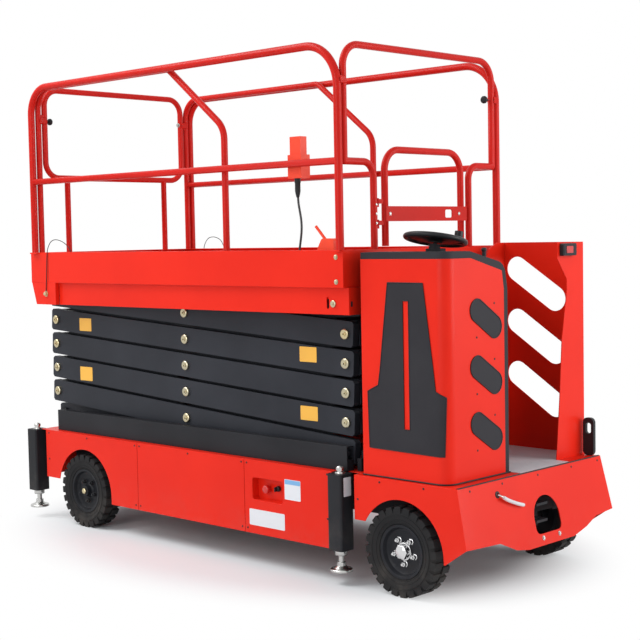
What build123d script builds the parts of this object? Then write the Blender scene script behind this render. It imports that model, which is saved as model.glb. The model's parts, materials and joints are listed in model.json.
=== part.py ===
"""Self-propelled electric scissor lift with a stand-on driver's cab, stowed.

Millimetres.  +X points to the driver's end, +Z up, Y across the machine.
The origin is on the ground, under the middle of the overall length and width.
"""

from build123d import *
import math
import os

# ---------------------------------------------------------------- driving sizes
# Body
BODY_HALF_W = 575.0
BODY_TOP = 532.0
BODY_BOTTOM = 159.0
BODY_REAR_BOTTOM = 252.0
BODY_REAR_X = -1545.0
SKIRT_REAR_X = -1500.0
BODY_FRONT_X = 1568.0
SKIRT_T = 4.0
SKIRT_STEP_Z = 322.0
PANEL_GAP = 3.0
PANEL_JOINTS_X = (-645.0, 213.0)
FRAME_RAIL_Y = 300.0
FRAME_RAIL_W = 60.0
FRAME_RAIL_Z = (300.0, 400.0)
UPRIGHT_X = (-1300.0, -700.0, -40.0, 640.0, 1060.0, 1400.0)
CROSS_MEMBER_X = (-941.0, -260.0, 430.0, 1010.0, 1460.0)
SKIRT_STAY_X = (-700.0, -40.0, 640.0)
FRAME_FRONT_X = 1490.0
TOW_PIN_BORE_R = 12.5
TOW_PLATE_Z = (296.0, 376.0)
OUTRIGGER_ARM_TOP = 480.0
AXLE_RISE = 42.0

# Apron under the driver's door
APRON_FOOT_X = 1628.0
APRON_SIDE_Z = 272.0
APRON_LOBE_Z = 200.0
APRON_LOBE_Y = 40.0
APRON_T = 4.0
TOW_WINDOW_R = 102.0
TOW_WINDOW_Z = (251.0, 317.0)
TOW_WINDOW_CORNER = 30.0
ROPE_HOLE = (-301.0, 470.0)
ROPE_HOLE_R = 9.0

# Wheels
FRONT_WHEEL_X = 1243.0
REAR_WHEEL_X = -1131.0
TYRE_R = 208.0
TYRE_W = 112.0
TYRE_PROUD = 8.0
TYRE_OUTER_Y = BODY_HALF_W + TYRE_PROUD
TREAD_DEPTH = 10.0
LUGS_PER_SIDE = 24
LUG_HALF_W = 19.0
RIM_R = 125.0
HUB_BORE_R = 18.0
WHEEL_NUT_COUNT = 5
WHEEL_NUT_PCD = 118.0
ARCH_R = 246.0
ARCH_Z = 200.0
KINGPIN_INSET = 139.0
KINGPIN_Y = TYRE_OUTER_Y - KINGPIN_INSET
KINGPIN_R = 15.0
STEER_ARM = 110.0
TIE_EYE_R = 15.0
AXLE_BEAM = 80.0

# Outriggers
POST = 90.0
POST_WALL = 8.0
POST_INSET = 7.0
POST_Y = BODY_HALF_W - POST_INSET
POST_BOTTOM = 164.0
POST_CORNER_R = 12.0
POST_COLLAR_R = 30.0
POST_COLLAR_H = 25.0
POST_REVEAL = 50.0
POST_CAP_R = 24.0
POST_CAP_T = 7.0
POST_NECK_H = 9.0
POST_DRIVE_R = 18.0
POST_DRIVE_H = 14.0
POST_TOP = 528.0
POST_FRONT_X = 868.0
POST_REAR_X = -1595.0
JACK_SCREW_R = 14.0
JACK_PAD_R = 55.0
JACK_PAD_Z = 62.0
JACK_PAD_T = 14.0
JACK_NECK_R = 22.0

# Scissor pack
PAIRS = 5
ARM_SPAN = 2330.0
PIN_PITCH = 140.8
LOW_PIN_Z = 615.0
LEFT_PIN_X = -1488.0
ARM_DEPTH = 124.0
ARM_T = 38.0
ARM_END = 50.0
ARM_CORNER = 12.0
ARM_INSET = 94.0
OUTER_ARM_Y = BODY_HALF_W - ARM_INSET
ARM_GAP = 7.0
PIN_R = 20.0
PIN_HEAD_R = 23.0
PIN_HEAD_T = 11.0
SHAFT_R = 30.0
ROLLER_R = 28.0
ROLLER_W = 30.0
ROLLER_GAP = 0.5
BASE_TRACK_GAP = 8.0
BASE_TRACK_Y = OUTER_ARM_Y + BASE_TRACK_GAP
TOP_TRACK_GAP = 16.0
TOP_TRACK_Y = OUTER_ARM_Y + TOP_TRACK_GAP
BASE_CHANNEL_W = 46.0
BASE_CHANNEL_Y = BASE_TRACK_Y + BASE_CHANNEL_W
BASE_CHANNEL_TOP = 650.0
BASE_CHANNEL_X = (-1430.0, 884.0)
CROSS_TUBE_R = 24.0

# Lift cylinder, between the two lowest inner arms
CYL_FOOT_S = 0.6923
CYL_HEAD_S = 0.3077
CYL_HEAD_DROP = 37.0
CYL_HEAD_TUBE_RISE = 33.0
CYL_BARREL_R = 42.0
CYL_ROD_R = 25.0
CYL_EYE_R = 34.0
CYL_EYE_HALF_W = 24.0
CYL_STROKE = 395.0

# Platform
DECK_OVERHANG = 25.0
DECK_HALF_W = BODY_HALF_W + DECK_OVERHANG
DECK_BOTTOM = 1402.0
DECK_DEPTH = 176.0
DECK_TOP = DECK_BOTTOM + DECK_DEPTH
DECK_X = (-1560.0, 940.0)
DECK_FLOOR_RISE = 26.0
DECK_FLOOR = DECK_BOTTOM + DECK_FLOOR_RISE
SHEET_T = 4.0
TRACK_BAND_INSET = 25.0
TRACK_BAND_Y = DECK_HALF_W - TRACK_BAND_INSET
TRACK_BAND_H = 127.0
TRACK_BAND_BOTTOM = DECK_BOTTOM - TRACK_BAND_H
TRACK_BAND_X = (-1322.0, 951.0)
NOSE_FOOT_X = -1515.0
NOSE_GAP = 2.0
BAND_CAP_T = 6.0

# Rails
RAIL_R = 19.5
RAIL_OUTSET = 6.0
RAIL_Y = DECK_HALF_W + RAIL_OUTSET
THIN_RAIL_R = 17.0
RAIL_H = 949.0
RAIL_MID_H = 410.0
RAIL_TOP = DECK_TOP + RAIL_H
RAIL_MID = DECK_TOP + RAIL_MID_H
RAIL_X = (-1503.0, 929.0)
RAIL_BEND = 150.0
RAIL_BEND_FRONT = 200.0
SLIDE_GAP = 5.5
RUNNER_GAP = 0.5
SLIDE_RAIL_END_X = 110.0
SLIDE_RAIL_TOP_END_X = -311.0
SLIDE_RAIL_KNEE_DROP = 332.0
SLIDE_RAIL_KNEE_Z = RAIL_TOP - SLIDE_RAIL_KNEE_DROP
LOOP_X = -1496.0
SLIDE_RAIL_BEND = 120.0
LOOP_BEND = 92.0
LOOP_INSET = 86.0
LOOP_HALF_W = RAIL_Y - LOOP_INSET
LOOP_RISE = 27.0
LOOP_BOTTOM = RAIL_MID + LOOP_RISE
LOOP_CLAMP_DROP = (147.0, 187.0)
LOOP_LEG_Y = 370.0
END_RAIL_INSET = 38.0
END_RAIL_Y = RAIL_Y - END_RAIL_INSET
END_RAIL_INNER_Y = 366.0
END_RAIL_BEND = 105.0
END_RAIL_LOW_BEND = 70.0
GATE_HINGE_Y = -336.0
GATE_HINGE_Z = (1690.0, 1792.0)
HINGE_PIN_R = 5.0
HINGE_BARREL_R = 10.0
HINGE_BARREL_L = 22.0
GATE_Y = (-286.0, 300.0)
GATE_RISE = 62.0
GATE_TOP = RAIL_MID + GATE_RISE
GATE_BEND = 100.0
GATE_PLATE_Z = (1708.0, 1780.0)
PEDAL_X = (735.0, 768.0, 845.0)
PEDAL_INSET = 70.0
PEDAL_W = 60.0
PEDAL_SHOULDER_DROP = 3.0
PEDAL_RISE = 54.0
CONTROL_BOX_X = (582.0, 672.0)
CONTROL_HEAD_INSET = (8.0, 12.0)
CONTROL_BOX_DROP = 68.0
CONTROL_BOX_H = 112.0
CONTROL_HEAD_H = 86.0

# Cab
CAB_X = (1000.0, 1500.0)
CONSOLE_INSET = 27.0
CONSOLE_Y = (CONSOLE_INSET - BODY_HALF_W, -88.0)
CONSOLE_TOP = 1568.0
CONSOLE_FOOT = 532.0
CONSOLE_BEND = 60.0
TRIM_W = 34.0
WRAP_T = 3.0
CAB_FLOOR_T = 8.0
CAB_SHEET_T = 3.0
CAB_SHEET_X = (1010.0, 1552.0)
CAB_SHEET_GAP = 8.0
CAB_SHEET_STEP_Y = 318.0
GUARD_Y = BODY_HALF_W - SKIRT_T
GUARD_TOP = 1592.0
GUARD_X = (1003.0, 1480.0)
LAMP_Y = (207.0, 91.0)
GRAB_RISE = 94.0
GRAB_OUTSET = 42.0
GRAB_INSET = 15.0
GRAB_W = 20.0
STEER_WHEEL_AT = (1258.0, -315.0, 1618.0)
STEER_WHEEL_R = 150.0
STEER_RIM_R = 12.0
STEER_TILT = 12.0
STEER_SHAFT_R = 9.0

RUN_FIT = 0.05
CLEAR = 5.0

INNER_ARM_Y = OUTER_ARM_Y - ARM_T - ARM_GAP
ARM_INSIDE_Y = INNER_ARM_Y - ARM_T
REST_TILT = math.degrees(math.asin(PIN_PITCH / ARM_SPAN))
ARM_RUN = ARM_SPAN * math.cos(math.radians(REST_TILT))
RIGHT_PIN_X = LEFT_PIN_X + ARM_RUN
TOP_PIN_Z = LOW_PIN_Z + PAIRS * PIN_PITCH
WHEEL_Y = TYRE_OUTER_Y - TYRE_W / 2
SLIDE_RAIL_Y = RAIL_Y - RAIL_R - SLIDE_GAP - THIN_RAIL_R
DECK_LIP_Y = RAIL_Y - RAIL_R + 0.5
TRAY_HALF_W = DECK_LIP_Y - 7.0

os.makedirs("parts", exist_ok=True)


# ------------------------------------------------------------------ small tools
def block(x0, x1, y0, y1, z0, z1):
    """Box between two corners."""
    size = Box(x1 - x0, y1 - y0, z1 - z0)
    return Pos((x0 + x1) / 2, (y0 + y1) / 2, (z0 + z1) / 2) * size


def bar_y(x, z, radius, y0, y1):
    """Round bar along Y."""
    return Pos(x, (y0 + y1) / 2, z) * Rot(90, 0, 0) * Cylinder(radius, y1 - y0)


def bar_x(y, z, radius, x0, x1):
    """Round bar along X."""
    return Pos((x0 + x1) / 2, y, z) * Rot(0, 90, 0) * Cylinder(radius, x1 - x0)


def bar_z(x, y, radius, z0, z1):
    """Round bar along Z."""
    return Pos(x, y, (z0 + z1) / 2) * Cylinder(radius, z1 - z0)


def side_plate(outline, y0, y1):
    """Sheet with an outline in X and Z, between two Y values."""
    return extrude(Plane.XZ.offset(-y1) * outline, y1 - y0)


def end_plate(outline, x0, x1):
    """Sheet with an outline in Y and Z, between two X values."""
    return extrude(Plane.YZ.offset(x0) * outline, x1 - x0)


def area(*points):
    """Flat face from its corner points."""
    return make_face(Polyline(*points, close=True))


def bent_tube(points, bends, radius):
    """Round tube along straight runs joined by tangent bends."""
    path = FilletPolyline(*points, radius=bends) if len(points) > 2 else Line(*points)
    section = Plane(origin=path @ 0, z_dir=path % 0) * Circle(radius)
    return sweep(section, path=path)


def mirror_y(shape):
    """The same piece on the other side of the machine."""
    return mirror(shape, about=Plane.XZ)


def both_sides(shape):
    """The piece and its mirror image, apart from each other."""
    return [shape, mirror_y(shape)]


def save(node, *pieces):
    """Write one node, from one solid or from several that don't touch."""
    solids = []
    for piece in pieces:
        solids.extend(piece.solids())
    shape = solids[0] if len(solids) == 1 else Compound(children=solids)
    export_step(shape, f"parts/{node}.step")


# ------------------------------------------------------------------------ body
def skirt_outline(rear_x, front_x, bottom):
    """Upright rectangle of side sheet."""
    return area((rear_x, bottom), (front_x, bottom), (front_x, BODY_TOP), (rear_x, BODY_TOP))


def wheel_arch(x):
    """Round wheel opening, open at the bottom."""
    arch = Pos(x, ARCH_Z) * Circle(ARCH_R)
    return arch + Pos(x, ARCH_Z - ARCH_R / 2) * Rectangle(2 * ARCH_R, ARCH_R)


def side_skirts(side):
    """The four side sheets of one side, split where the real panels meet."""
    y0, y1 = BODY_HALF_W - SKIRT_T, BODY_HALF_W
    notch = POST / 2 + PANEL_GAP
    reveal_x = POST_FRONT_X + POST / 2 + POST_REVEAL
    joints = (SKIRT_REAR_X, *PANEL_JOINTS_X, POST_FRONT_X - notch)
    sheets = []
    for index in range(3):
        rear_x = joints[index] + (PANEL_GAP / 2 if index else 0)
        front_x = joints[index + 1] - (PANEL_GAP / 2 if index < 2 else 0)
        outline = skirt_outline(rear_x, front_x, BODY_BOTTOM)
        if index == 0:
            raised = REAR_WHEEL_X - ARCH_R + 14
            step = Pos((SKIRT_REAR_X + raised) / 2, BODY_REAR_BOTTOM / 2)
            outline -= step * Rectangle(raised - SKIRT_REAR_X, BODY_REAR_BOTTOM)
            outline -= wheel_arch(REAR_WHEEL_X)
        if index == 2 and side < 0:
            outline -= pocket_outline()
        sheets.append(outline)
    front = area(
        (reveal_x, SKIRT_STEP_Z),
        (1004, SKIRT_STEP_Z),
        (FRONT_WHEEL_X, SKIRT_STEP_Z),
        (FRONT_WHEEL_X, 190),
        (1496, 186),
        (APRON_FOOT_X - APRON_T - 2, APRON_SIDE_Z),
        (BODY_FRONT_X - APRON_T - 1, BODY_TOP),
        (reveal_x, BODY_TOP),
    )
    sheets.append(front - wheel_arch(FRONT_WHEEL_X))
    plates = [side_plate(outline, y0, y1) for outline in sheets]
    return plates if side > 0 else [mirror_y(plate) for plate in plates]


POCKET_X = (272.0, 488.0)
POCKET_Z = (332.0, 444.0)
POCKET_DEPTH = 44.0


def pocket_outline():
    """Opening of the ground control pocket."""
    centre = Pos(sum(POCKET_X) / 2, sum(POCKET_Z) / 2)
    return centre * RectangleRounded(POCKET_X[1] - POCKET_X[0], POCKET_Z[1] - POCKET_Z[0], 14)


def body_panels():
    """Side sheets, top sheet, rear sheet and the plate under the cab."""
    top_y = BODY_HALF_W - SKIRT_T
    top = block(BODY_REAR_X, CAB_X[0] - CLEAR, -top_y, top_y, BODY_TOP - SKIRT_T, BODY_TOP)
    rear_y = POST_Y - POST / 2 - PANEL_GAP
    notch = POST / 2 + PANEL_GAP
    for side in (-1, 1):
        y_in, y_out = sorted((side * rear_y, side * (top_y + 1)))
        reveal_x = POST_FRONT_X + POST / 2 + POST_REVEAL
        top -= block(POST_FRONT_X - notch, reveal_x, y_in, y_out, BODY_TOP - 30, BODY_TOP + 30)
    rear = block(BODY_REAR_X - SKIRT_T, BODY_REAR_X, -rear_y, rear_y, BODY_REAR_BOTTOM, BODY_TOP)
    cab_x = CAB_X[0] - CLEAR + 1
    cab = block(cab_x, BODY_FRONT_X - APRON_T, -top_y, top_y, BODY_TOP - CAB_FLOOR_T, BODY_TOP)
    return side_skirts(-1) + side_skirts(1) + [top, rear, cab]


def chassis_frame():
    """Welded ladder frame: rails, cross members, uprights, skirt stays and outrigger arms."""
    z0, z1 = FRAME_RAIL_Z
    half = FRAME_RAIL_W / 2
    inside, outside = FRAME_RAIL_Y - half, FRAME_RAIL_Y + half
    skirt_in = BODY_HALF_W - SKIRT_T
    members = both_sides(block(BODY_REAR_X, FRAME_FRONT_X, inside, outside, z0, z1))
    for x in (REAR_WHEEL_X, FRONT_WHEEL_X):
        members += both_sides(block(x - 45, x + 45, inside, outside, TYRE_R + AXLE_RISE, z0))
    for x in UPRIGHT_X:
        top = BODY_TOP - (CAB_FLOOR_T if x > CAB_X[0] else SKIRT_T)
        members += both_sides(block(x - 25, x + 25, inside, outside, z1, top))
    for x in CROSS_MEMBER_X:
        members.append(block(x - 30, x + 30, -inside, inside, z0 + 10, z1 - 10))
    for x in SKIRT_STAY_X:
        members.append(block(x - 20, x + 20, -inside, inside, z1 - 50, z1 - 10))
        members += both_sides(block(x - 20, x + 20, outside, skirt_in, z1 - 50, z1 - 10))
    arm_y = POST_Y - POST / 2
    members.append(block(POST_FRONT_X - 40, POST_FRONT_X + 40, -arm_y, arm_y, z1, OUTRIGGER_ARM_TOP))
    members.append(block(BODY_REAR_X, BODY_REAR_X + 105, -arm_y, arm_y, z1, BODY_TOP - SKIRT_T))
    members.append(block(POST_REAR_X - 40, BODY_REAR_X - SKIRT_T, -arm_y, arm_y, z1, OUTRIGGER_ARM_TOP))
    return members


def outrigger_post(x, side):
    """Square tube with its screw bush and drive head."""
    y = side * POST_Y
    half = POST / 2
    inner = half - POST_WALL
    tube = block(x - half, x + half, y - half, y + half, POST_BOTTOM, POST_TOP)
    tube = fillet(tube.edges().filter_by(Axis.Z), POST_CORNER_R)
    tube -= block(x - inner, x + inner, y - inner, y + inner, POST_BOTTOM + 12, POST_TOP - 10)
    tube -= bar_z(x, y, JACK_SCREW_R + RUN_FIT, POST_BOTTOM - 20, POST_BOTTOM + 20)
    collar = bar_z(x, y, POST_COLLAR_R, POST_BOTTOM - POST_COLLAR_H, POST_BOTTOM)
    collar -= bar_z(x, y, JACK_SCREW_R + RUN_FIT, POST_BOTTOM - POST_COLLAR_H - 5, POST_BOTTOM + 5)
    head = bar_z(x, y, POST_CAP_R, POST_TOP, POST_TOP + POST_CAP_T)
    neck_top = POST_TOP + POST_CAP_T + POST_NECK_H
    head += bar_z(x, y, JACK_SCREW_R, POST_TOP + POST_CAP_T, neck_top)
    head += Pos(x, y, neck_top) * extrude(RegularPolygon(POST_DRIVE_R, 6), POST_DRIVE_H)
    return tube + collar + head


def jack_foot(x, side):
    """Screw with its swivel pad, held clear of the ground."""
    y = side * POST_Y
    pad_top = JACK_PAD_Z + JACK_PAD_T
    screw = bar_z(x, y, JACK_SCREW_R, pad_top, POST_TOP - 60)
    pad = Pos(x, y, JACK_PAD_Z + JACK_PAD_T / 2) * Cylinder(JACK_PAD_R, JACK_PAD_T)
    rim_edge = pad.edges().filter_by(GeomType.CIRCLE).sort_by(Axis.Z)[-1]
    pad = fillet(rim_edge, JACK_PAD_T / 2)
    cone = Pos(x, y, pad_top + 6) * Cone(JACK_PAD_R - 15, JACK_NECK_R + 2, 12)
    neck = bar_z(x, y, JACK_NECK_R, pad_top + 12, pad_top + 30)
    return screw + pad + cone + neck


def front_apron():
    """Flared sheet below the door with its lobe and towing opening."""
    rise = BODY_TOP - APRON_SIDE_Z
    lean = (APRON_FOOT_X - BODY_FRONT_X) / rise
    half_top = BODY_HALF_W
    half_foot = BODY_HALF_W + 15
    low = APRON_LOBE_Z
    outline = area(
        (-half_top, BODY_TOP),
        (-half_foot, APRON_SIDE_Z),
        (APRON_LOBE_Y - 385, APRON_SIDE_Z - 10),
        (APRON_LOBE_Y - 275, low + 14),
        (APRON_LOBE_Y - 185, low),
        (APRON_LOBE_Y + 185, low),
        (APRON_LOBE_Y + 300, low + 26),
        (APRON_LOBE_Y + 400, APRON_SIDE_Z - 10),
        (half_foot, APRON_SIDE_Z),
        (half_top, BODY_TOP),
    )
    foot, spring = TOW_WINDOW_Z
    arch = Circle(TOW_WINDOW_R) & Pos(0, TOW_WINDOW_R) * Rectangle(3 * TOW_WINDOW_R, 2 * TOW_WINDOW_R)
    sill_h = spring - foot + TOW_WINDOW_CORNER + 4
    sill = RectangleRounded(2 * TOW_WINDOW_R, sill_h, TOW_WINDOW_CORNER)
    outline -= Pos(APRON_LOBE_Y, spring) * arch
    outline -= Pos(APRON_LOBE_Y, foot + sill_h / 2) * sill
    outline -= Pos(*ROPE_HOLE) * Circle(ROPE_HOLE_R)
    length = 400.0
    sheet = extrude(Plane.YZ.offset(BODY_FRONT_X - 200) * outline, length)
    z_low, z_top = 150.0, BODY_TOP
    x_low = BODY_FRONT_X + lean * (BODY_TOP - z_low)
    wedge = area(
        (x_low - APRON_T, z_low),
        (x_low, z_low),
        (BODY_FRONT_X, z_top),
        (BODY_FRONT_X - APRON_T, z_top),
    )
    return sheet & side_plate(wedge, -700, 700)


def tow_bracket():
    """Two plates behind the towing opening with a bore for the tow pin."""
    y = APRON_LOBE_Y
    x0 = FRAME_FRONT_X
    bracket = block(x0, x0 + 10, y - 90, y + 90, 250, 410)
    for z in TOW_PLATE_Z:
        bracket += block(x0 + 10, x0 + 98, y - 45, y + 45, z - 6, z + 6)
    bracket -= bar_z(x0 + 70, y, TOW_PIN_BORE_R, 200, 420)
    return bracket


# ----------------------------------------------------------------- axles, wheels
def axles():
    """Fixed rear axle and the front beam with its kingpin yokes."""
    half = AXLE_BEAM / 2
    rear = block(REAR_WHEEL_X - half, REAR_WHEEL_X + half, -430, 430, TYRE_R - 38, TYRE_R + 42)
    front = block(FRONT_WHEEL_X - half, FRONT_WHEEL_X + half, -395, 395, TYRE_R - 38, TYRE_R + 42)
    for side in (-1, 1):
        stub_in, stub_out = sorted((side * 430, side * (WHEEL_Y + 38)))
        rear += bar_y(REAR_WHEEL_X, TYRE_R, HUB_BORE_R, stub_in, stub_out)
        y_in, y_out = sorted((side * 395, side * (KINGPIN_Y + 26)))
        for z in (TYRE_R - 60, TYRE_R + 46):
            front += block(FRONT_WHEEL_X - 26, FRONT_WHEEL_X + 26, y_in, y_out, z, z + 14)
        web_in, web_out = sorted((side * 380, side * 400))
        front += block(FRONT_WHEEL_X - 26, FRONT_WHEEL_X + 26, web_in, web_out, TYRE_R - 60, TYRE_R + 60)
        front += bar_z(FRONT_WHEEL_X, side * KINGPIN_Y, KINGPIN_R, TYRE_R - 66, TYRE_R + 66)
    return rear, front


def knuckle(side):
    """Steering knuckle: sleeve on the kingpin, stub axle and steering arm."""
    y = side * KINGPIN_Y
    sleeve = bar_z(FRONT_WHEEL_X, y, 27, TYRE_R - 40, TYRE_R + 40)
    stub_in, stub_out = sorted((y, side * (WHEEL_Y + 38)))
    stub = bar_y(FRONT_WHEEL_X, TYRE_R, HUB_BORE_R, stub_in, stub_out)
    flange_in, flange_out = sorted((side * (KINGPIN_Y + 26), side * (KINGPIN_Y + 40)))
    flange = bar_y(FRONT_WHEEL_X, TYRE_R, 34, flange_in, flange_out)
    arm = block(FRONT_WHEEL_X - STEER_ARM, FRONT_WHEEL_X, y - 12, y + 12, TYRE_R - 34, TYRE_R - 20)
    arm += bar_z(FRONT_WHEEL_X - STEER_ARM, y, TIE_EYE_R, TYRE_R - 34, TYRE_R - 20)
    piece = sleeve + stub + flange + arm
    piece -= bar_z(FRONT_WHEEL_X, y, KINGPIN_R + RUN_FIT, TYRE_R - 80, TYRE_R + 80)
    piece += bar_z(FRONT_WHEEL_X - STEER_ARM, y, 8, TYRE_R - 52, TYRE_R - 34)
    return piece


def tie_rod():
    """Rod between the two steering arms."""
    x = FRONT_WHEEL_X - STEER_ARM
    z = TYRE_R - 43
    rod = bar_y(x, z, 9, -KINGPIN_Y, KINGPIN_Y)
    for side in (-1, 1):
        rod += bar_z(x, side * KINGPIN_Y, TIE_EYE_R, z - 8, z + 8)
    for side in (-1, 1):
        rod -= bar_z(x, side * KINGPIN_Y, 8 + RUN_FIT, z - 20, z + 20)
    return rod


def tyre():
    """Solid tyre with shoulder lugs, its axis on Y and its centre at the origin."""
    half = TYRE_W / 2
    tread_r = TYRE_R - TREAD_DEPTH
    outline = make_face(
        Polyline(
            (RIM_R, -half + 14),
            (RIM_R + 12, -half + 8),
            (RIM_R + 40, -half),
            (tread_r - 24, -half + 2),
            (tread_r, -half + 10),
            (tread_r, half - 10),
            (tread_r - 24, half - 2),
            (RIM_R + 40, half),
            (RIM_R + 12, half - 8),
            (RIM_R, half - 14),
            close=True,
        )
    )
    body = revolve(Plane.XY * outline, Axis.Y)
    lug_w = TYRE_W / 2 - 8
    pitch = 360 / LUGS_PER_SIDE
    lug_face = area(
        (-LUG_HALF_W, tread_r - 26),
        (LUG_HALF_W, tread_r - 26),
        (LUG_HALF_W - 1.5, TYRE_R - 1),
        (0, TYRE_R),
        (1.5 - LUG_HALF_W, TYRE_R - 1),
    )
    lugs = []
    for index in range(LUGS_PER_SIDE):
        for side in (-1, 1):
            turn = (index + (0.25 if side > 0 else -0.25)) * pitch
            y0, y1 = sorted((side * 6.0, side * (6.0 + lug_w)))
            lugs.append(Rot(0, turn, 0) * side_plate(lug_face, y0, y1))
    return body.fuse(*lugs)


def rim():
    """Dished steel rim with hub and wheel nuts; the outer side faces -Y."""
    half = TYRE_W / 2
    r_out = RIM_R - RUN_FIT
    disc = -half + 38
    outline = make_face(
        Polyline(
            (0, -half + 6),
            (30, -half + 6),
            (34, -half + 30),
            (44, disc),
            (RIM_R - 37, disc),
            (RIM_R - 21, -half + 30),
            (RIM_R - 13, -half + 12),
            (r_out, -half + 10),
            (r_out, half - 14),
            (RIM_R - 15, half - 16),
            (RIM_R - 25, disc + 14),
            (44, disc + 12),
            (44, half - 20),
            (HUB_BORE_R + RUN_FIT, half - 20),
            (HUB_BORE_R + RUN_FIT, -half + 16),
            (0, -half + 16),
            close=True,
        )
    )
    wheel = revolve(Plane.XY * outline, Axis.Y)
    for index in range(WHEEL_NUT_COUNT):
        turn = math.radians(270 + index * 360 / WHEEL_NUT_COUNT)
        x = WHEEL_NUT_PCD / 2 * math.cos(turn)
        z = WHEEL_NUT_PCD / 2 * math.sin(turn)
        nut = Pos(x, disc + 1, z) * Rot(90, 0, 0) * extrude(RegularPolygon(11, 6), 17)
        wheel += nut
    return wheel


# ----------------------------------------------------------------- scissor pack
def level_z(level):
    """Height of the end pins at one level of the stowed pack."""
    return LOW_PIN_Z + level * PIN_PITCH


def arm_bar(low_level, tilt_up_right, y_out):
    """One flat arm, square-cut past its pins with small corner cuts, in its stowed place."""
    bar = Rectangle(ARM_SPAN + 2 * ARM_END, ARM_DEPTH)
    bar = chamfer(bar.vertices(), ARM_CORNER)
    angle = REST_TILT if tilt_up_right else -REST_TILT
    x_mid = (LEFT_PIN_X + RIGHT_PIN_X) / 2
    z_mid = LOW_PIN_Z + (low_level + 0.5) * PIN_PITCH
    outline = Pos(x_mid, z_mid) * Rot(0, 0, angle) * bar
    return side_plate(outline, y_out - ARM_T, y_out)


def pin_bores(low_level, tilt_up_right, radius):
    """Cross bores at both ends and in the middle of one pair's arms."""
    left_level = low_level if tilt_up_right else low_level + 1
    right_level = low_level + 1 if tilt_up_right else low_level
    x_mid = (LEFT_PIN_X + RIGHT_PIN_X) / 2
    wide = OUTER_ARM_Y + 50
    bores = bar_y(LEFT_PIN_X, level_z(left_level), radius, -wide, wide)
    bores += bar_y(RIGHT_PIN_X, level_z(right_level), radius, -wide, wide)
    bores += bar_y(x_mid, LOW_PIN_Z + (low_level + 0.5) * PIN_PITCH, radius, -wide, wide)
    return bores


def stub_pin(x, z, side):
    """Short pin through an outer and an inner arm, with its round head."""
    y_tip, y_head = ARM_INSIDE_Y - 6, OUTER_ARM_Y
    a, b = sorted((side * y_tip, side * y_head))
    pin = bar_y(x, z, PIN_R, a, b)
    a, b = sorted((side * y_head, side * (y_head + PIN_HEAD_T)))
    return pin + bar_y(x, z, PIN_HEAD_R, a, b)


def cross_shaft(x, z, inside, outside):
    """Full-width shaft, thick between the arms and thin through them."""
    shaft = bar_y(x, z, PIN_R, -outside, outside)
    return shaft + bar_y(x, z, SHAFT_R, -inside, inside)


def roller_ends(x, z, track_y):
    """Thin shaft ends with their rollers, both sides of the pack."""
    y_roller = track_y + CLEAR
    ends = bar_y(x, z, PIN_R - 4, INNER_ARM_Y - 1, y_roller)
    ends += bar_y(x, z, ROLLER_R, y_roller, y_roller + ROLLER_W)
    return ends + mirror_y(ends)


def outer_pair(level):
    """Near and far outer arms of one level with their pins and shafts."""
    arm = arm_bar(level, False, OUTER_ARM_Y)
    body = arm + mirror_y(arm)
    x_mid = (LEFT_PIN_X + RIGHT_PIN_X) / 2
    for side in (-1, 1):
        body += stub_pin(x_mid, LOW_PIN_Z + (level + 0.5) * PIN_PITCH, side)
    inside = ARM_INSIDE_Y - CLEAR
    ends = ((LEFT_PIN_X, level_z(level + 1), level == PAIRS - 1), (RIGHT_PIN_X, level_z(level), level == 0))
    for x, z, at_stop in ends:
        if at_stop and x == LEFT_PIN_X:
            continue
        body += cross_shaft(x, z, inside, OUTER_ARM_Y)
        if at_stop:
            body += roller_ends(x, z, BASE_TRACK_Y)
            continue
        head = bar_y(x, z, PIN_HEAD_R, OUTER_ARM_Y, OUTER_ARM_Y + PIN_HEAD_T)
        body += head + mirror_y(head)
    if level == PAIRS - 1:
        bore = bar_y(LEFT_PIN_X, TOP_PIN_Z, PIN_R + RUN_FIT, OUTER_ARM_Y - ARM_T - 1, OUTER_ARM_Y + 1)
        body -= bore + mirror_y(bore)
        body += cross_brace(level, 0.12)
    return body


def cross_brace(level, share):
    """Cross tube between the top outer arms, clear of the inner pair."""
    x = LEFT_PIN_X + share * ARM_RUN
    z = level_z(level + 1) - share * PIN_PITCH + 20
    return bar_y(x, z, 18, -(OUTER_ARM_Y - ARM_T), OUTER_ARM_Y - ARM_T)


def inner_pair(level):
    """Near and far inner arms of one level with their cross tubes."""
    arm = arm_bar(level, True, INNER_ARM_Y)
    body = arm + mirror_y(arm)
    shares = [0.2, 0.8]
    if level == 0:
        shares = [0.25, CYL_FOOT_S]
    if level == 1:
        shares = [0.82]
    for share in shares:
        x = LEFT_PIN_X + share * ARM_RUN
        z = LOW_PIN_Z + (level + share) * PIN_PITCH
        body += bar_y(x, z, CROSS_TUBE_R, -ARM_INSIDE_Y, ARM_INSIDE_Y)
    if level == 1:
        body += cylinder_head_mount()
    body -= pin_bores(level, True, PIN_R + RUN_FIT)
    if level == 0:
        body += cylinder_foot_ears()
    if level == PAIRS - 1:
        z = TOP_PIN_Z
        body += cross_shaft(RIGHT_PIN_X, z, ARM_INSIDE_Y, INNER_ARM_Y)
        body += bar_y(RIGHT_PIN_X, z, PIN_R + 1, -INNER_ARM_Y, INNER_ARM_Y)
        body += roller_ends(RIGHT_PIN_X, z, TOP_TRACK_Y)
    return body


# ---------------------------------------------------------------- lift cylinder
def arm_point(level, share, normal):
    """Point on an inner arm: share of its span, and a step square to it."""
    tilt = math.radians(REST_TILT)
    x = LEFT_PIN_X + share * ARM_SPAN * math.cos(tilt) - normal * math.sin(tilt)
    z = level_z(level) + share * ARM_SPAN * math.sin(tilt) + normal * math.cos(tilt)
    return x, z


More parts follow.
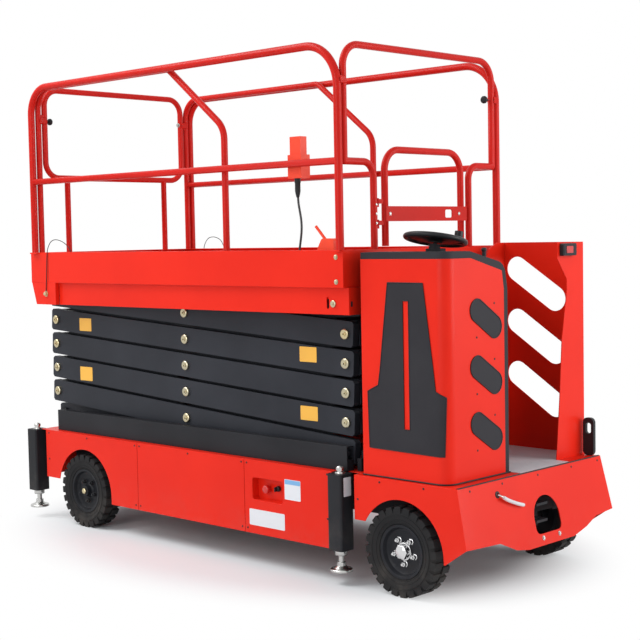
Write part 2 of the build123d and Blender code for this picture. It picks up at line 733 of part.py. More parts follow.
CYL_FOOT = arm_point(0, CYL_FOOT_S, 0)
CYL_HEAD = arm_point(1, CYL_HEAD_S, -CYL_HEAD_DROP)
CYL_ANGLE = math.degrees(math.atan2(CYL_HEAD[1] - CYL_FOOT[1], CYL_HEAD[0] - CYL_FOOT[0]))
CYL_LENGTH = math.dist(CYL_FOOT, CYL_HEAD)
EAR_IN = CYL_EYE_HALF_W + CLEAR + 2
EAR_OUT = EAR_IN + 14


def cylinder_head_mount():
    """Cross tube with two ears for the rod's eye."""
    x, z = arm_point(1, CYL_HEAD_S, CYL_HEAD_TUBE_RISE)
    tube = bar_y(x, z, CROSS_TUBE_R, -ARM_INSIDE_Y, ARM_INSIDE_Y)
    px, pz = CYL_HEAD
    ear = make_hull(
        [
            *(Pos(x, z) * Circle(CROSS_TUBE_R + 4)).edges(),
            *(Pos(px, pz) * Circle(24)).edges(),
        ]
    )
    plate = side_plate(ear, EAR_IN, EAR_OUT)
    boss = bar_y(px, pz, 14, EAR_IN - 3, EAR_IN)
    return tube + plate + mirror_y(plate) + boss + mirror_y(boss)


def cylinder_foot_ears():
    """Pivot collar seats on the foot cross tube."""
    x, z = CYL_FOOT
    collar = bar_y(x, z, CROSS_TUBE_R + 12, EAR_IN + 6, EAR_IN + 16)
    return collar + mirror_y(collar)


def lift_barrel():
    """Cylinder barrel, its foot eye turning on the cross tube."""
    foot = bar_y(0, 0, CYL_EYE_R + 8, -EAR_IN + 1, EAR_IN - 1)
    neck = block(0, 70, -26, 26, -30, 30)
    barrel = bar_x(0, 0, CYL_BARREL_R, 60, CYL_LENGTH - 120)
    gland = bar_x(0, 0, CYL_BARREL_R + 5, CYL_LENGTH - 150, CYL_LENGTH - 116)
    piece = foot + neck + barrel + gland
    piece -= bar_x(0, 0, CYL_ROD_R + RUN_FIT, CYL_LENGTH - 120 - CYL_STROKE - 60, CYL_LENGTH)
    piece -= bar_y(0, 0, CROSS_TUBE_R + RUN_FIT, -60, 60)
    return place_cylinder(piece)


def lift_rod():
    """Cylinder rod with its eye."""
    rod = bar_x(0, 0, CYL_ROD_R, CYL_LENGTH - 120 - CYL_STROKE - 40, CYL_LENGTH - CYL_EYE_R + 8)
    eye = bar_y(CYL_LENGTH, 0, CYL_EYE_R, -CYL_EYE_HALF_W, CYL_EYE_HALF_W)
    piece = rod + eye
    piece -= bar_y(CYL_LENGTH, 0, 16, -60, 60)
    return place_cylinder(piece)


def place_cylinder(piece):
    """Turn a piece drawn along +X onto the line between the two pivots."""
    x, z = CYL_FOOT
    return Pos(x, 0, z) * Rot(0, -CYL_ANGLE, 0) * piece


# --------------------------------------------------------------- scissor guides
def base_channels():
    """Roller channels on the body with the fixed lugs and the end beam."""
    x0, x1 = BASE_CHANNEL_X
    track_z = LOW_PIN_Z - ROLLER_R - ROLLER_GAP
    roof_z = LOW_PIN_Z + ROLLER_R + ROLLER_GAP
    web = block(x0, x1, BASE_CHANNEL_Y - 6, BASE_CHANNEL_Y, BODY_TOP, BASE_CHANNEL_TOP)
    roof = block(x0, x1, BASE_TRACK_Y, BASE_CHANNEL_Y, roof_z, BASE_CHANNEL_TOP)
    track = block(x0, x1, BASE_TRACK_Y, BASE_CHANNEL_Y, BODY_TOP, track_z)
    channel = web + roof + track
    lug = area(
        (LEFT_PIN_X - 52, BODY_TOP),
        (LEFT_PIN_X + 70, BODY_TOP),
        (LEFT_PIN_X + 34, LOW_PIN_Z + 20),
        (LEFT_PIN_X + 20, LOW_PIN_Z + 34),
        (LEFT_PIN_X - 20, LOW_PIN_Z + 34),
        (LEFT_PIN_X - 34, LOW_PIN_Z + 20),
    )
    y_out = INNER_ARM_Y + CLEAR
    y_in = ARM_INSIDE_Y - CLEAR
    lug_out = side_plate(lug, y_out, y_out + 12)
    lug_in = side_plate(lug, y_in - 12, y_in)
    pin = bar_y(LEFT_PIN_X, LOW_PIN_Z, PIN_R, y_in - 12, y_out + 12)
    lugs = lug_out + lug_in + pin
    x0 = RIGHT_PIN_X + ARM_DEPTH / 2 + 8
    beam = block(x0, x0 + 26, -BASE_TRACK_Y, BASE_TRACK_Y, BODY_TOP, BODY_TOP + 60)
    post = block(x0, x0 + 26, BASE_TRACK_Y - 60, BASE_TRACK_Y - 30, BODY_TOP + 60, BODY_TOP + 93)
    return both_sides(channel) + both_sides(lugs) + [beam + post + mirror_y(post)]


# --------------------------------------------------------------------- platform
def platform_base():
    """Side bands with the upper roller tracks, cross members and fixed lugs."""
    x0 = TRACK_BAND_X[0]
    x1 = TRACK_BAND_X[1] - BAND_CAP_T
    z0, z1 = TRACK_BAND_BOTTOM, DECK_BOTTOM
    web = block(x0, x1, TRACK_BAND_Y - 6, TRACK_BAND_Y, z0, z1)
    track_z = TOP_PIN_Z - ROLLER_R - ROLLER_GAP
    roof_z = TOP_PIN_Z + ROLLER_R + ROLLER_GAP
    floor = block(x0, x1, TOP_TRACK_Y, TRACK_BAND_Y, z0, track_z)
    roof = block(x0, x1, TOP_TRACK_Y, TRACK_BAND_Y, roof_z, roof_z + 14)
    cap = block(x0, x1, TOP_TRACK_Y, TRACK_BAND_Y, z1 - 6, z1)
    rib = block(x0, x0 + 6, TOP_TRACK_Y, TRACK_BAND_Y, z0, z1)
    tie = block(x1 - 30, x1 - 24, TOP_TRACK_Y, TRACK_BAND_Y, roof_z, z1)
    band = web + floor + roof + cap + rib + tie
    slot = Pos(816, 1330) * Rot(0, 0, 90) * SlotOverall(56, 16)
    band -= side_plate(slot, TRACK_BAND_Y - 10, TRACK_BAND_Y + 5)
    nose = area(
        (DECK_X[0] + 4, z1),
        (NOSE_FOOT_X, z0),
        (x0 - NOSE_GAP, z0),
        (x0 - NOSE_GAP, z1),
    )
    nose_plate = side_plate(nose, DECK_HALF_W - SHEET_T, DECK_HALF_W)
    nose_plate += block(x0 - NOSE_GAP - SHEET_T, x0 - NOSE_GAP, TRACK_BAND_Y, DECK_HALF_W, z0, z1)
    lug = area(
        (LEFT_PIN_X - 36, z1),
        (LEFT_PIN_X - 36, TOP_PIN_Z - 16),
        (LEFT_PIN_X - 20, TOP_PIN_Z - 34),
        (LEFT_PIN_X + 20, TOP_PIN_Z - 34),
        (LEFT_PIN_X + 36, TOP_PIN_Z - 16),
        (LEFT_PIN_X + 36, z1),
    )
    y_out = OUTER_ARM_Y + CLEAR
    y_in = OUTER_ARM_Y - ARM_T - CLEAR
    lugs = side_plate(lug, y_out, y_out + 12) + side_plate(lug, y_in - 12, y_in)
    lugs += bar_y(LEFT_PIN_X, TOP_PIN_Z, PIN_R, y_in - 12, y_out + 12)
    end = block(x1, x1 + BAND_CAP_T, -TRACK_BAND_Y, TRACK_BAND_Y, z0, z1)
    for side in (-1, 1):
        end -= Pos(x1 + BAND_CAP_T / 2, side * 476, 1324) * Rot(0, 90, 0) * Cylinder(14, 20)
    return both_sides(band) + both_sides(nose_plate) + both_sides(lugs) + [end]


def platform_deck():
    """Side sheets, floor and end toe-board of the fixed deck."""
    x0, x1 = DECK_X
    side = block(x0, x1, DECK_HALF_W - SHEET_T, DECK_HALF_W, DECK_BOTTOM, DECK_TOP)
    side += block(x0, x1, DECK_LIP_Y, DECK_HALF_W, DECK_TOP - SHEET_T, DECK_TOP)
    side += block(x0, x1, TRACK_BAND_Y - 90, DECK_HALF_W, DECK_BOTTOM, DECK_BOTTOM + SHEET_T)
    for x in RAIL_X:
        side += block(x - 30, x + min(30, x1 - x), DECK_LIP_Y, RAIL_Y + RAIL_R, DECK_TOP - 8, DECK_TOP)
    deck = side + mirror_y(side)
    inner = DECK_HALF_W - SHEET_T
    deck += block(x0, x1, -inner, inner, DECK_FLOOR - SHEET_T, DECK_FLOOR)
    deck += block(x1 - SHEET_T, x1, -inner, inner, DECK_BOTTOM, DECK_TOP)
    for x in (LEFT_PIN_X, -1200, -700, -200, 300, 800):
        deck += block(x - 36, x + 36, -inner, inner, DECK_BOTTOM, DECK_FLOOR - SHEET_T)
    return deck


def main_rails():
    """Long side frames: posts, top rail and middle rail."""
    x0, x1 = RAIL_X
    frame = bent_tube(
        [
            (x0, RAIL_Y, DECK_TOP),
            (x0, RAIL_Y, RAIL_TOP),
            (x1, RAIL_Y, RAIL_TOP),
            (x1, RAIL_Y, DECK_TOP),
        ],
        [RAIL_BEND, RAIL_BEND_FRONT],
        RAIL_R,
    )
    frame += bar_x(RAIL_Y, RAIL_MID, THIN_RAIL_R, x0, x1)
    return both_sides(frame)


def end_rails():
    """Driver's-end frame: top loop between the posts and the two lower corners."""
    x = RAIL_X[1]
    y = END_RAIL_Y
    frame = bent_tube(
        [(x, -y, RAIL_MID), (x, -y, RAIL_TOP), (x, y, RAIL_TOP), (x, y, RAIL_MID)],
        END_RAIL_BEND,
        THIN_RAIL_R,
    )
    for side in (-1, 1):
        inner = side * END_RAIL_INNER_Y
        corner = [(x, side * y, RAIL_MID), (x, inner, RAIL_MID), (x, inner, DECK_TOP)]
        frame += bent_tube(corner, END_RAIL_LOW_BEND, THIN_RAIL_R)
        frame += Pos(x, side * y, RAIL_MID) * Sphere(THIN_RAIL_R)
    for z in GATE_HINGE_Z:
        pin = bar_z(x, GATE_HINGE_Y, HINGE_PIN_R, z - 16, z + HINGE_BARREL_L + 4)
        pin += block(x - 4, x + 4, -END_RAIL_INNER_Y, GATE_HINGE_Y, z - 16, z - CLEAR)
        frame += pin
    return frame


def entry_gate():
    """Gate frame with its latch plate and hinge barrels."""
    x = RAIL_X[1]
    y0, y1 = GATE_Y
    foot = DECK_TOP + 12
    gate = bent_tube(
        [(x, y0, foot), (x, y0, GATE_TOP), (x, y1, GATE_TOP), (x, y1, foot)],
        GATE_BEND,
        THIN_RAIL_R,
    )
    z0, z1 = GATE_PLATE_Z
    face = x + THIN_RAIL_R
    plate = block(face - 4, face + 2, y0 - 10, y1 + 26, z0, z1)
    slot = Pos(180, (z0 + z1) / 2) * RectangleRounded(56, 40, 8)
    gate += plate - end_plate(slot, x, x + 40)
    for z in GATE_HINGE_Z:
        gate += bar_z(x, GATE_HINGE_Y, HINGE_BARREL_R, z, z + HINGE_BARREL_L)
        gate += block(x - 5, x + 5, GATE_HINGE_Y, y0, z, z + HINGE_BARREL_L)
        gate -= bar_z(x, GATE_HINGE_Y, HINGE_PIN_R + RUN_FIT, z - 1, z + HINGE_BARREL_L + 1)
    return gate


def slide_deck():
    """Extension deck: floor, low sides and nose."""
    x0 = DECK_X[0] + 11
    x1 = SLIDE_RAIL_END_X + 40
    outer = TRAY_HALF_W
    z0 = DECK_FLOOR + CLEAR
    tray = block(x0, x1, -outer, outer, z0, z0 + SHEET_T)
    side = block(x0, x1, outer - SHEET_T, outer, z0, DECK_TOP)
    side += block(x0, x1, SLIDE_RAIL_Y - THIN_RAIL_R - 2, outer, DECK_TOP - SHEET_T, DECK_TOP)
    side += block(x0 + 20, x1 - 20, outer - 40, outer - 16, DECK_FLOOR + RUNNER_GAP, z0)
    tray += side + mirror_y(side)
    tray += block(x0, x0 + SHEET_T, -outer, outer, z0, DECK_TOP)
    tray += block(x0, x0 + 70, -outer, outer, DECK_TOP - SHEET_T, DECK_TOP)
    return tray


def slide_rails():
    """Side frames of the extension deck and the loop across its nose."""
    x0 = LOOP_X
    x1 = SLIDE_RAIL_END_X
    frame = bent_tube(
        [
            (x0, SLIDE_RAIL_Y, DECK_TOP),
            (x0, SLIDE_RAIL_Y, RAIL_TOP),
            (SLIDE_RAIL_TOP_END_X, SLIDE_RAIL_Y, RAIL_TOP),
            (x1, SLIDE_RAIL_Y, SLIDE_RAIL_KNEE_Z),
            (x1, SLIDE_RAIL_Y, DECK_TOP),
        ],
        [SLIDE_RAIL_BEND, SLIDE_RAIL_BEND / 2, SLIDE_RAIL_BEND],
        THIN_RAIL_R,
    )
    frame += bar_x(SLIDE_RAIL_Y, RAIL_MID, THIN_RAIL_R - 2, x0, x1)
    y = LOOP_HALF_W
    frame += bent_tube(
        [(x0, 0, RAIL_TOP), (x0, y, RAIL_TOP), (x0, y, LOOP_BOTTOM), (x0, 0, LOOP_BOTTOM)],
        LOOP_BEND,
        THIN_RAIL_R,
    )
    frame += bar_z(x0, LOOP_LEG_Y, THIN_RAIL_R, DECK_TOP, LOOP_BOTTOM)
    high, low = (RAIL_TOP - drop for drop in LOOP_CLAMP_DROP)
    frame += block(x0 - 10, x0 + 10, y, SLIDE_RAIL_Y, low, high)
    return frame + mirror_y(frame)


def control_box():
    """Operator's control box hung on the near middle rail."""
    y0 = -RAIL_Y + THIN_RAIL_R
    y1 = y0 + 60
    x0, x1 = CONTROL_BOX_X
    foot = RAIL_MID - CONTROL_BOX_DROP
    shoulder = foot + CONTROL_BOX_H
    lower = block(x0, x1, y0, y1, foot, shoulder)
    head_in, head_out = CONTROL_HEAD_INSET
    upper = block(x0 + head_in, x1 - head_out, y0 + 8, y1 - 8, shoulder, shoulder + CONTROL_HEAD_H)
    relief = bar_z(CABLE_POINTS[0][0], (y0 + y1) / 2, 12, foot - 60, foot)
    return lower + upper + relief


def lock_pedal():
    """Foot-operated lock of the extension deck with its lever."""
    foot = DECK_FLOOR
    y = PEDAL_INSET - DECK_HALF_W
    x0, x1, x2 = PEDAL_X
    top = DECK_TOP + PEDAL_RISE
    hump = area((x0, foot), (x0, DECK_TOP - PEDAL_SHOULDER_DROP), (x1, top), (x2, top), (x2, foot))
    hump = fillet(hump.vertices().sort_by(Axis.Y)[-3:], 20)
    lever = bent_tube([(x1 + 7, y, top - 14), (x0 - 30, y, top + 58)], 1, 7)
    return side_plate(hump, y - PEDAL_W / 2, y + PEDAL_W / 2) + lever


CABLE_POINTS = (
    (617.0, -559.0, 1859.9),
    (617.0, -558.5, 1815.0),
    (625.0, -557.5, 1770.0),
    (635.0, -556.5, 1722.0),
    (635.0, -555.5, 1672.0),
    (626.0, -554.5, 1624.0),
    (615.0, -553.5, 1578.0),
    (609.0, -552.5, 1530.0),
    (606.0, -551.5, 1482.0),
    (605.0, -550.5, 1434.0),
)
CABLE_R = 5.5


def cord_tube(name, points, radius):
    """Tube along straight runs joined by arcs as large as the runs allow."""
    radii = []
    for index in range(1, len(points) - 1):
        a, b, c = (Vector(*p) for p in points[index - 1 : index + 2])
        turn = (b - a).get_angle(c - b)
        shorter = min((b - a).length, (c - b).length)
        radii.append(0.45 * shorter / math.tan(math.radians(turn / 2)))
    print(name, "radii", [round(r) for r in radii])
    path = FilletPolyline(*points, radius=radii)
    print(name, "length", round(path.length))
    section = Plane(origin=path @ 0, z_dir=path % 0) * Circle(radius)
    return sweep(section, path=path)


# -------------------------------------------------------------------------- cab
def console_profile(inset):
    """Cross-section of the console in Y and Z, drawn in by a margin."""
    y0, y1 = CONSOLE_Y
    outline = area(
        (y0, CONSOLE_FOOT),
        (y0, CONSOLE_TOP),
        (y0 + 178, CONSOLE_TOP),
        (y1 - 22, CONSOLE_TOP - 62),
        (y1, CONSOLE_TOP - 178),
        (y1, CONSOLE_FOOT),
    )
    corner = outline.vertices().sort_by_distance((y1 - 22, CONSOLE_TOP - 62))[0]
    outline = fillet(corner, 70)
    if inset:
        outline = offset(outline, -inset, kind=Kind.INTERSECTION)
    return outline


def console_core():
    """Dark dash and door-side wall behind the red sheet."""
    x0, x1 = CAB_X
    outer = end_plate(console_profile(WRAP_T), x0, x1 - WRAP_T)
    inner = end_plate(console_profile(WRAP_T + 8), x0 + 8, x1 - WRAP_T - 8)
    vertical = [e for e in outer.edges().filter_by(Axis.Z) if e.center().X > x1 - 10 and e.center().Y < -500]
    outer = fillet(vertical, CONSOLE_BEND - WRAP_T)
    return outer - inner


def wrap_strip(outset, depth):
    """Plan of the red sheet: along the near side, round the bend, across the end."""
    x0, x1 = CAB_X
    y0, y1 = CONSOLE_Y
    outer = Rectangle(x1 - x0 + 400, y1 - y0 + 400)
    outer = Pos(x1 + outset - (x1 - x0 + 400) / 2, y0 - outset + (y1 - y0 + 400) / 2) * outer
    corner = outer.vertices().sort_by_distance((x1, y0))[0]
    outer = fillet(corner, CONSOLE_BEND + outset)
    inner = offset(outer, -depth, kind=Kind.INTERSECTION)
    band = outer - inner
    keep = area((x0, y0 - 20), (x1 + 20, y0 - 20), (x1 + 20, y1 - TRIM_W), (x0, y1 - TRIM_W))
    return band & keep


def console_wrap():
    """Red sheet round the near side and the end of the console."""
    strip = wrap_strip(0, WRAP_T)
    shell = extrude(Plane.XY.offset(CONSOLE_FOOT) * strip, CONSOLE_TOP - CONSOLE_FOOT)
    limit = area(
        (CONSOLE_Y[0] - 50, CONSOLE_FOOT - 5),
        (CONSOLE_Y[0] - 50, CONSOLE_TOP - TRIM_W),
        (CONSOLE_Y[0] + 178, CONSOLE_TOP - TRIM_W),
        (CONSOLE_Y[1] - 48, CONSOLE_TOP - 62 - TRIM_W),
        (CONSOLE_Y[1] - TRIM_W, CONSOLE_TOP - 180),
        (CONSOLE_Y[1] - TRIM_W, CONSOLE_FOOT - 5),
    )
    return shell & end_plate(limit, CAB_X[0] - 50, CAB_X[1] + 50)


INSET_CENTRES = ((-263.0, 1258.0), (-264.0, 1003.0), (-265.0, 747.0))


def console_insets():
    """Dark raised panel on the near side and three slanted ovals on the end."""
    strip = wrap_strip(2.5, 2.5)
    skin = extrude(Plane.XY.offset(CONSOLE_FOOT) * strip, CONSOLE_TOP - CONSOLE_FOOT)
    outline = area(
        (1165, 1428),
        (1370, 1427),
        (1424, 1044),
        (1436, 949),
        (1484, 923),
        (1476, 660),
        (1044, 666),
        (1037, 927),
        (1101, 958),
        (1113, 1027),
    )
    slot = Pos(1270, 1056) * Rectangle(34, 582)
    near = skin & side_plate(outline - slot, CONSOLE_Y[0] - 20, CONSOLE_Y[0] + 45)
    ovals = []
    for y, z in INSET_CENTRES:
        oval = Pos(y, z) * Rot(0, 0, -32) * SlotCenterToCenter(150, 104)
        ovals.append(end_plate(oval, CAB_X[1], CAB_X[1] + 2.5))
    return [near, *ovals]


def steering_column():
    """Column boss on the dash with its shaft and the small selector."""
    x, y, _ = STEER_WHEEL_AT
    plane = Plane(origin=STEER_WHEEL_AT, z_dir=tilt_axis())
    column = plane * Pos(0, 0, -64) * Cylinder(26, 80)
    column += plane * Pos(0, 0, -14) * Cylinder(STEER_SHAFT_R, 36)
    column -= block(x - 80, x + 80, y - 80, y + 80, CONSOLE_TOP - 200, CONSOLE_TOP - WRAP_T - 4)
    boss = Pos(x, y, CONSOLE_TOP - WRAP_T + 4) * Cylinder(46, 16)
    lever = bar_z(CAB_X[1] - 60, CONSOLE_Y[1] - 102, 9, CONSOLE_TOP - 68, CONSOLE_TOP + 7)
    return column + boss + lever


def tilt_axis():
    """Axis of the steering wheel, leaning towards the driver."""
    lean = math.radians(STEER_TILT)
    return (0, math.sin(lean), math.cos(lean))


def steering_wheel():
    """Rim, three spokes, hub and spinner knob."""
    rim_ring = Torus(STEER_WHEEL_R - STEER_RIM_R, STEER_RIM_R)
    wheel = rim_ring + Pos(0, 0, -4) * Cylinder(34, 26)
    for index in range(3):
        spoke = Pos((STEER_WHEEL_R - 10) / 2, 0, -2) * Box(STEER_WHEEL_R - 22, 22, 9)
        wheel += Rot(0, 0, 90 + index * 120) * spoke
    wheel += Pos(STEER_WHEEL_R - STEER_RIM_R, 0, 26) * Cylinder(7, 34)
    wheel += Pos(STEER_WHEEL_R - STEER_RIM_R, 0, 50) * Cylinder(20, 30)
    wheel -= Pos(0, 0, -10) * Cylinder(STEER_SHAFT_R + RUN_FIT, 32)
    plane = Plane(origin=STEER_WHEEL_AT, z_dir=tilt_axis())
    return plane * Rot(0, 0, -10) * wheel


GUARD_SLOTS_Z = (1381.0, 1112.0, 841.0)


def side_guard():
    """Far side sheet with three slanted openings and its folded edges."""
    x0, x1 = GUARD_X
    y0, y1 = GUARD_Y - SHEET_T, GUARD_Y
    outline = area((x0, CONSOLE_FOOT), (x1, CONSOLE_FOOT), (x1, GUARD_TOP), (x0, GUARD_TOP))
    for z in GUARD_SLOTS_Z:
        outline -= Pos(1200, z) * Rot(0, 0, -33) * SlotCenterToCenter(272, 126)
    sheet = side_plate(outline, y0, y1)
    flange = area(
        (GUARD_Y, CONSOLE_FOOT),
        (GUARD_Y, GUARD_TOP),
        (345, GUARD_TOP),
        (345, 1512),
        (425, 1412),
        (425, 1350),
        (380, 1125),
        (356, 824),
        (325, CONSOLE_FOOT),
    )
    sheet += end_plate(flange, x1 - SHEET_T, x1)
    rear = area(
        (GUARD_Y, CONSOLE_FOOT),
        (GUARD_Y, GUARD_TOP),
        (500, GUARD_TOP),
        (430, 1560),
        (400, 1500),
        (400, CONSOLE_FOOT),
    )
    sheet += end_plate(rear, x0, x0 + SHEET_T)
    return sheet


def cab_floor():
    """Pale standing sheet between the console and the side guard."""
    x0, x1 = CAB_SHEET_X
    y0 = CONSOLE_Y[1] + CAB_SHEET_GAP
    z0, z1 = BODY_TOP, BODY_TOP + CAB_SHEET_T
    step_x, step_y = GUARD_X[1] - SHEET_T - 6, CAB_SHEET_STEP_Y
    sheet = block(x0, x1, y0, step_y, z0, z1)
    return sheet + block(x0, step_x, step_y, GUARD_Y - SHEET_T - 5, z0, z1)


def cab_fittings():
    """Tail lamp on the guard and the grab loop at the far corner."""
    x1 = GUARD_X[1]
    lamp = block(x1, x1 + 22, GUARD_Y - LAMP_Y[0], GUARD_Y - LAMP_Y[1], GUARD_TOP - 66, GUARD_TOP - 6)
    lamp = fillet(lamp.edges().filter_by(Axis.X), 6)
    loop_x = x1 + GRAB_OUTSET
    loop_z = BODY_TOP + GRAB_RISE
    loop_face = Pos(loop_x, loop_z) * RectangleRounded(62, 188, 24)
    loop_face -= Pos(loop_x, loop_z + 42) * RectangleRounded(30, 52, 12)
    loop = side_plate(loop_face, BODY_HALF_W - GRAB_INSET - GRAB_W, BODY_HALF_W - GRAB_INSET)
    return lamp, loop


def ground_controls():
    """Recessed box in the near side with stop button and key switch."""
    x0, x1 = POCKET_X
    z0, z1 = POCKET_Z
    y = -BODY_HALF_W + SKIRT_T
    box = block(x0 - 6, x1 + 6, y, y + POCKET_DEPTH, z0 - 6, z1 + 6)
    box -= side_plate(pocket_outline(), y - 1, y + POCKET_DEPTH - 4)
    back = y + POCKET_DEPTH - 4
    button = bar_y(350, 388, 13, back - 18, back) + bar_y(350, 388, 21, back - 32, back - 18)
    key = bar_y(420, 396, 12, back - 16, back)
    return box + button + key


def battery_block():
    """Traction batteries between the frame rails."""
    return block(-500, 300, -265, 265, 190, FRAME_RAIL_Z[0] + 10)


# ------------------------------------------------------------------- build all
save("chassis_frame", *chassis_frame())
save("body_panels", *body_panels())
save("front_apron", front_apron())
save("tow_bracket", tow_bracket())
save("axles", *axles())
save("base_channels", *base_channels())
save("outrigger_posts", *[outrigger_post(x, s) for x in (POST_FRONT_X, POST_REAR_X) for s in (-1, 1)])
save("battery_block", battery_block())
save("ground_controls", ground_controls())
save("console_core", console_core() + steering_column())
save("console_wrap", console_wrap())
save("console_insets", *console_insets())
save("side_guard", side_guard())
save("cab_floor", cab_floor())
save("cab_fittings", *cab_fittings())

for name, x in (("front", POST_FRONT_X), ("rear", POST_REAR_X)):
    for side, side_name in ((-1, "near"), (1, "far")):
        save(f"jack_{name}_{side_name}", jack_foot(x, side))

one_tyre = tyre()
one_rim = rim()
for name, x in (("front", FRONT_WHEEL_X), ("rear", REAR_WHEEL_X)):
    for side, side_name in ((-1, "near"), (1, "far")):
        turn = Rot(0, 0, 0 if side < 0 else 180)
        at = Pos(x, side * WHEEL_Y, TYRE_R)
        save(f"tyre_{name}_{side_name}", at * turn * one_tyre)
        save(f"rim_{name}_{side_name}", at * turn * one_rim)
for side, side_name in ((-1, "near"), (1, "far")):
    save(f"knuckle_{side_name}", knuckle(side))
save("tie_rod", tie_rod())
save("steering_wheel", steering_wheel())

for level in range(PAIRS):
    save(f"outer_arms_{level + 1}", outer_pair(level))
    save(f"inner_arms_{level + 1}", inner_pair(level))
save("lift_barrel", lift_barrel())
save("lift_rod", lift_rod())

save("platform_base", *platform_base())
save("platform_deck", platform_deck())
save("main_rails", *main_rails())
save("end_rails", end_rails())
save("entry_gate", entry_gate())
save("slide_deck", slide_deck())
save("slide_rails", slide_rails())
save("deck_controls", control_box(), lock_pedal())
save("control_cable", cord_tube("cable", CABLE_POINTS, CABLE_R))
print("cylinder angle", CYL_ANGLE, "length", CYL_LENGTH)
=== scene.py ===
"""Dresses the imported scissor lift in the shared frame.

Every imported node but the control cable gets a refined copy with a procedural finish. Fasteners,
tyre ribs, knobs, clamps, edgings, blank plates and the cable's curve are added, and a camera and
a white studio stand round them.
"""
import json
import logging
import math
from dataclasses import dataclass, field
from enum import Enum, IntEnum
from typing import Callable, Sequence, Union

import bmesh
import bpy
from mathutils import Matrix, Vector


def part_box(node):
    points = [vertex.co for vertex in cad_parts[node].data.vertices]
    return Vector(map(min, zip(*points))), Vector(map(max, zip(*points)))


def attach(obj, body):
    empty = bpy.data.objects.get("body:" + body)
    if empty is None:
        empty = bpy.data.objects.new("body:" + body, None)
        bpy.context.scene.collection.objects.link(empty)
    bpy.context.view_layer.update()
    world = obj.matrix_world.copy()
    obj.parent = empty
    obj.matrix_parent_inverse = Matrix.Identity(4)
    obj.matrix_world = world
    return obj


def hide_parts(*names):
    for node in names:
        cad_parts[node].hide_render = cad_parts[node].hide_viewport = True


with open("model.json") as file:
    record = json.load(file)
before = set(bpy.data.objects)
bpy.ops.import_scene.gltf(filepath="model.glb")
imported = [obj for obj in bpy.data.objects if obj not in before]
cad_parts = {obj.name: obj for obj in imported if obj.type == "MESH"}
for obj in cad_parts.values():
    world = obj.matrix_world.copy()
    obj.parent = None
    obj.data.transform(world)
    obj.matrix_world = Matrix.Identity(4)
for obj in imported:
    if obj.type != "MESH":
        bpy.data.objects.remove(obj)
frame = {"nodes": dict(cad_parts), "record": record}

LOG = logging.getLogger("scissor_lift")
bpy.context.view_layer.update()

Node = bpy.types.Node
Piece = bpy.types.Object
Socket = bpy.types.NodeSocket
Tree = bpy.types.NodeTree
Source = Union[Node, Socket, float, tuple]
Pair = tuple[float, float]
Point = tuple[float, float, float]
Spot = tuple[Point, Point]
Outline = tuple[Pair, ...]
Ring = list[bmesh.types.BMVert]
AHEAD, UP, NEARWARD = (1, 0, 0), (0, 0, 1), (0, -1, 0)


class Slot(Enum):
    """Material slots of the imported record."""

    RED = "red_paint"
    BLACK = "black_paint"
    ARM = "arm_paint"
    PLASTIC = "dark_plastic"
    TYRE = "tyre"
    RIM = "rim_paint"
    ZINC = "zinc"
    CHROME = "chrome"
    BATTERY = "battery"
    CABLE = "cable"
    SHEET = "grey_sheet"
    CONTROL = "control_red"


class Side(IntEnum):
    """Sides of the machine; the value is the sign along Y."""

    NEAR = -1
    FAR = 1

    @property
    def label(self) -> str:
        """The side's word in a piece's name."""
        return self.name.lower()


# ------------------------------------------------------------------ node helpers
def feed(tree: Tree, target: Socket, source: Source) -> None:
    """Links a socket to another socket, or sets it to a plain value.

    Args:
        tree: The tree that holds the target.
        target: The input socket.
        source: An output socket, a node whose first output is used, or a value.
    """
    if isinstance(source, Node):
        source = source.outputs[0]
    if isinstance(source, Socket):
        tree.links.new(source, target)
    else:
        target.default_value = source


def add_node(tree: Tree, kind: str, inputs: dict[str | int, Source] | None = None, **values: object) -> Node:
    """Adds a node, sets its properties and feeds its inputs.

    Args:
        tree: The tree that gets the node.
        kind: The node's type name.
        inputs: Sources of its inputs, by name or number.
        values: Properties to set on it.

    Returns:
        The new node.
    """
    node = tree.nodes.new(kind)
    for key, value in values.items():
        setattr(node, key, value)
    for key, source in (inputs or {}).items():
        feed(tree, node.inputs[key], source)
    return node


def maths(tree: Tree, operation: str, *values: Source) -> Socket:
    """Combines values in a Math node and returns its output."""
    return add_node(tree, "ShaderNodeMath", dict(enumerate(values)), operation=operation).outputs[0]


def times(tree: Tree, first: Source, second: Source) -> Socket:
    """Multiplies two values and returns the product's socket."""
    return maths(tree, "MULTIPLY", first, second)


def ramp(tree: Tree, value: Source, low: Source, high: Source) -> Socket:
    """Maps a value between two limits to 0 to 1 with a smooth, clamped step."""
    node = add_node(tree, "ShaderNodeMapRange", {0: value, 1: low, 2: high}, interpolation_type="SMOOTHSTEP")
    return node.outputs[0]


def noise(tree: Tree, vector: Source, scale: Source, detail: float, rough: float) -> Socket:
    """Adds a noise texture on a vector and returns its factor."""
    inputs = {"Vector": vector, "Scale": scale, "Detail": detail, "Roughness": rough}
    return add_node(tree, "ShaderNodeTexNoise", inputs).outputs[0]


def mix_colour(tree: Tree, factor: Source, first: Source, second: Source) -> Socket:
    """Blends two colours.

    Args:
        tree: The tree to work in.
        factor: Share of the second colour.
        first: Colour at factor 0.
        second: Colour at factor 1.

    Returns:
        The blended colour's socket.
    """
    node = add_node(tree, "ShaderNodeMix", {0: factor}, data_type="RGBA")
    for index, colour in ((6, first), (7, second)):
        feed(tree, node.inputs[index], (*colour, 1.0) if isinstance(colour, tuple) else colour)
    return node.outputs[2]


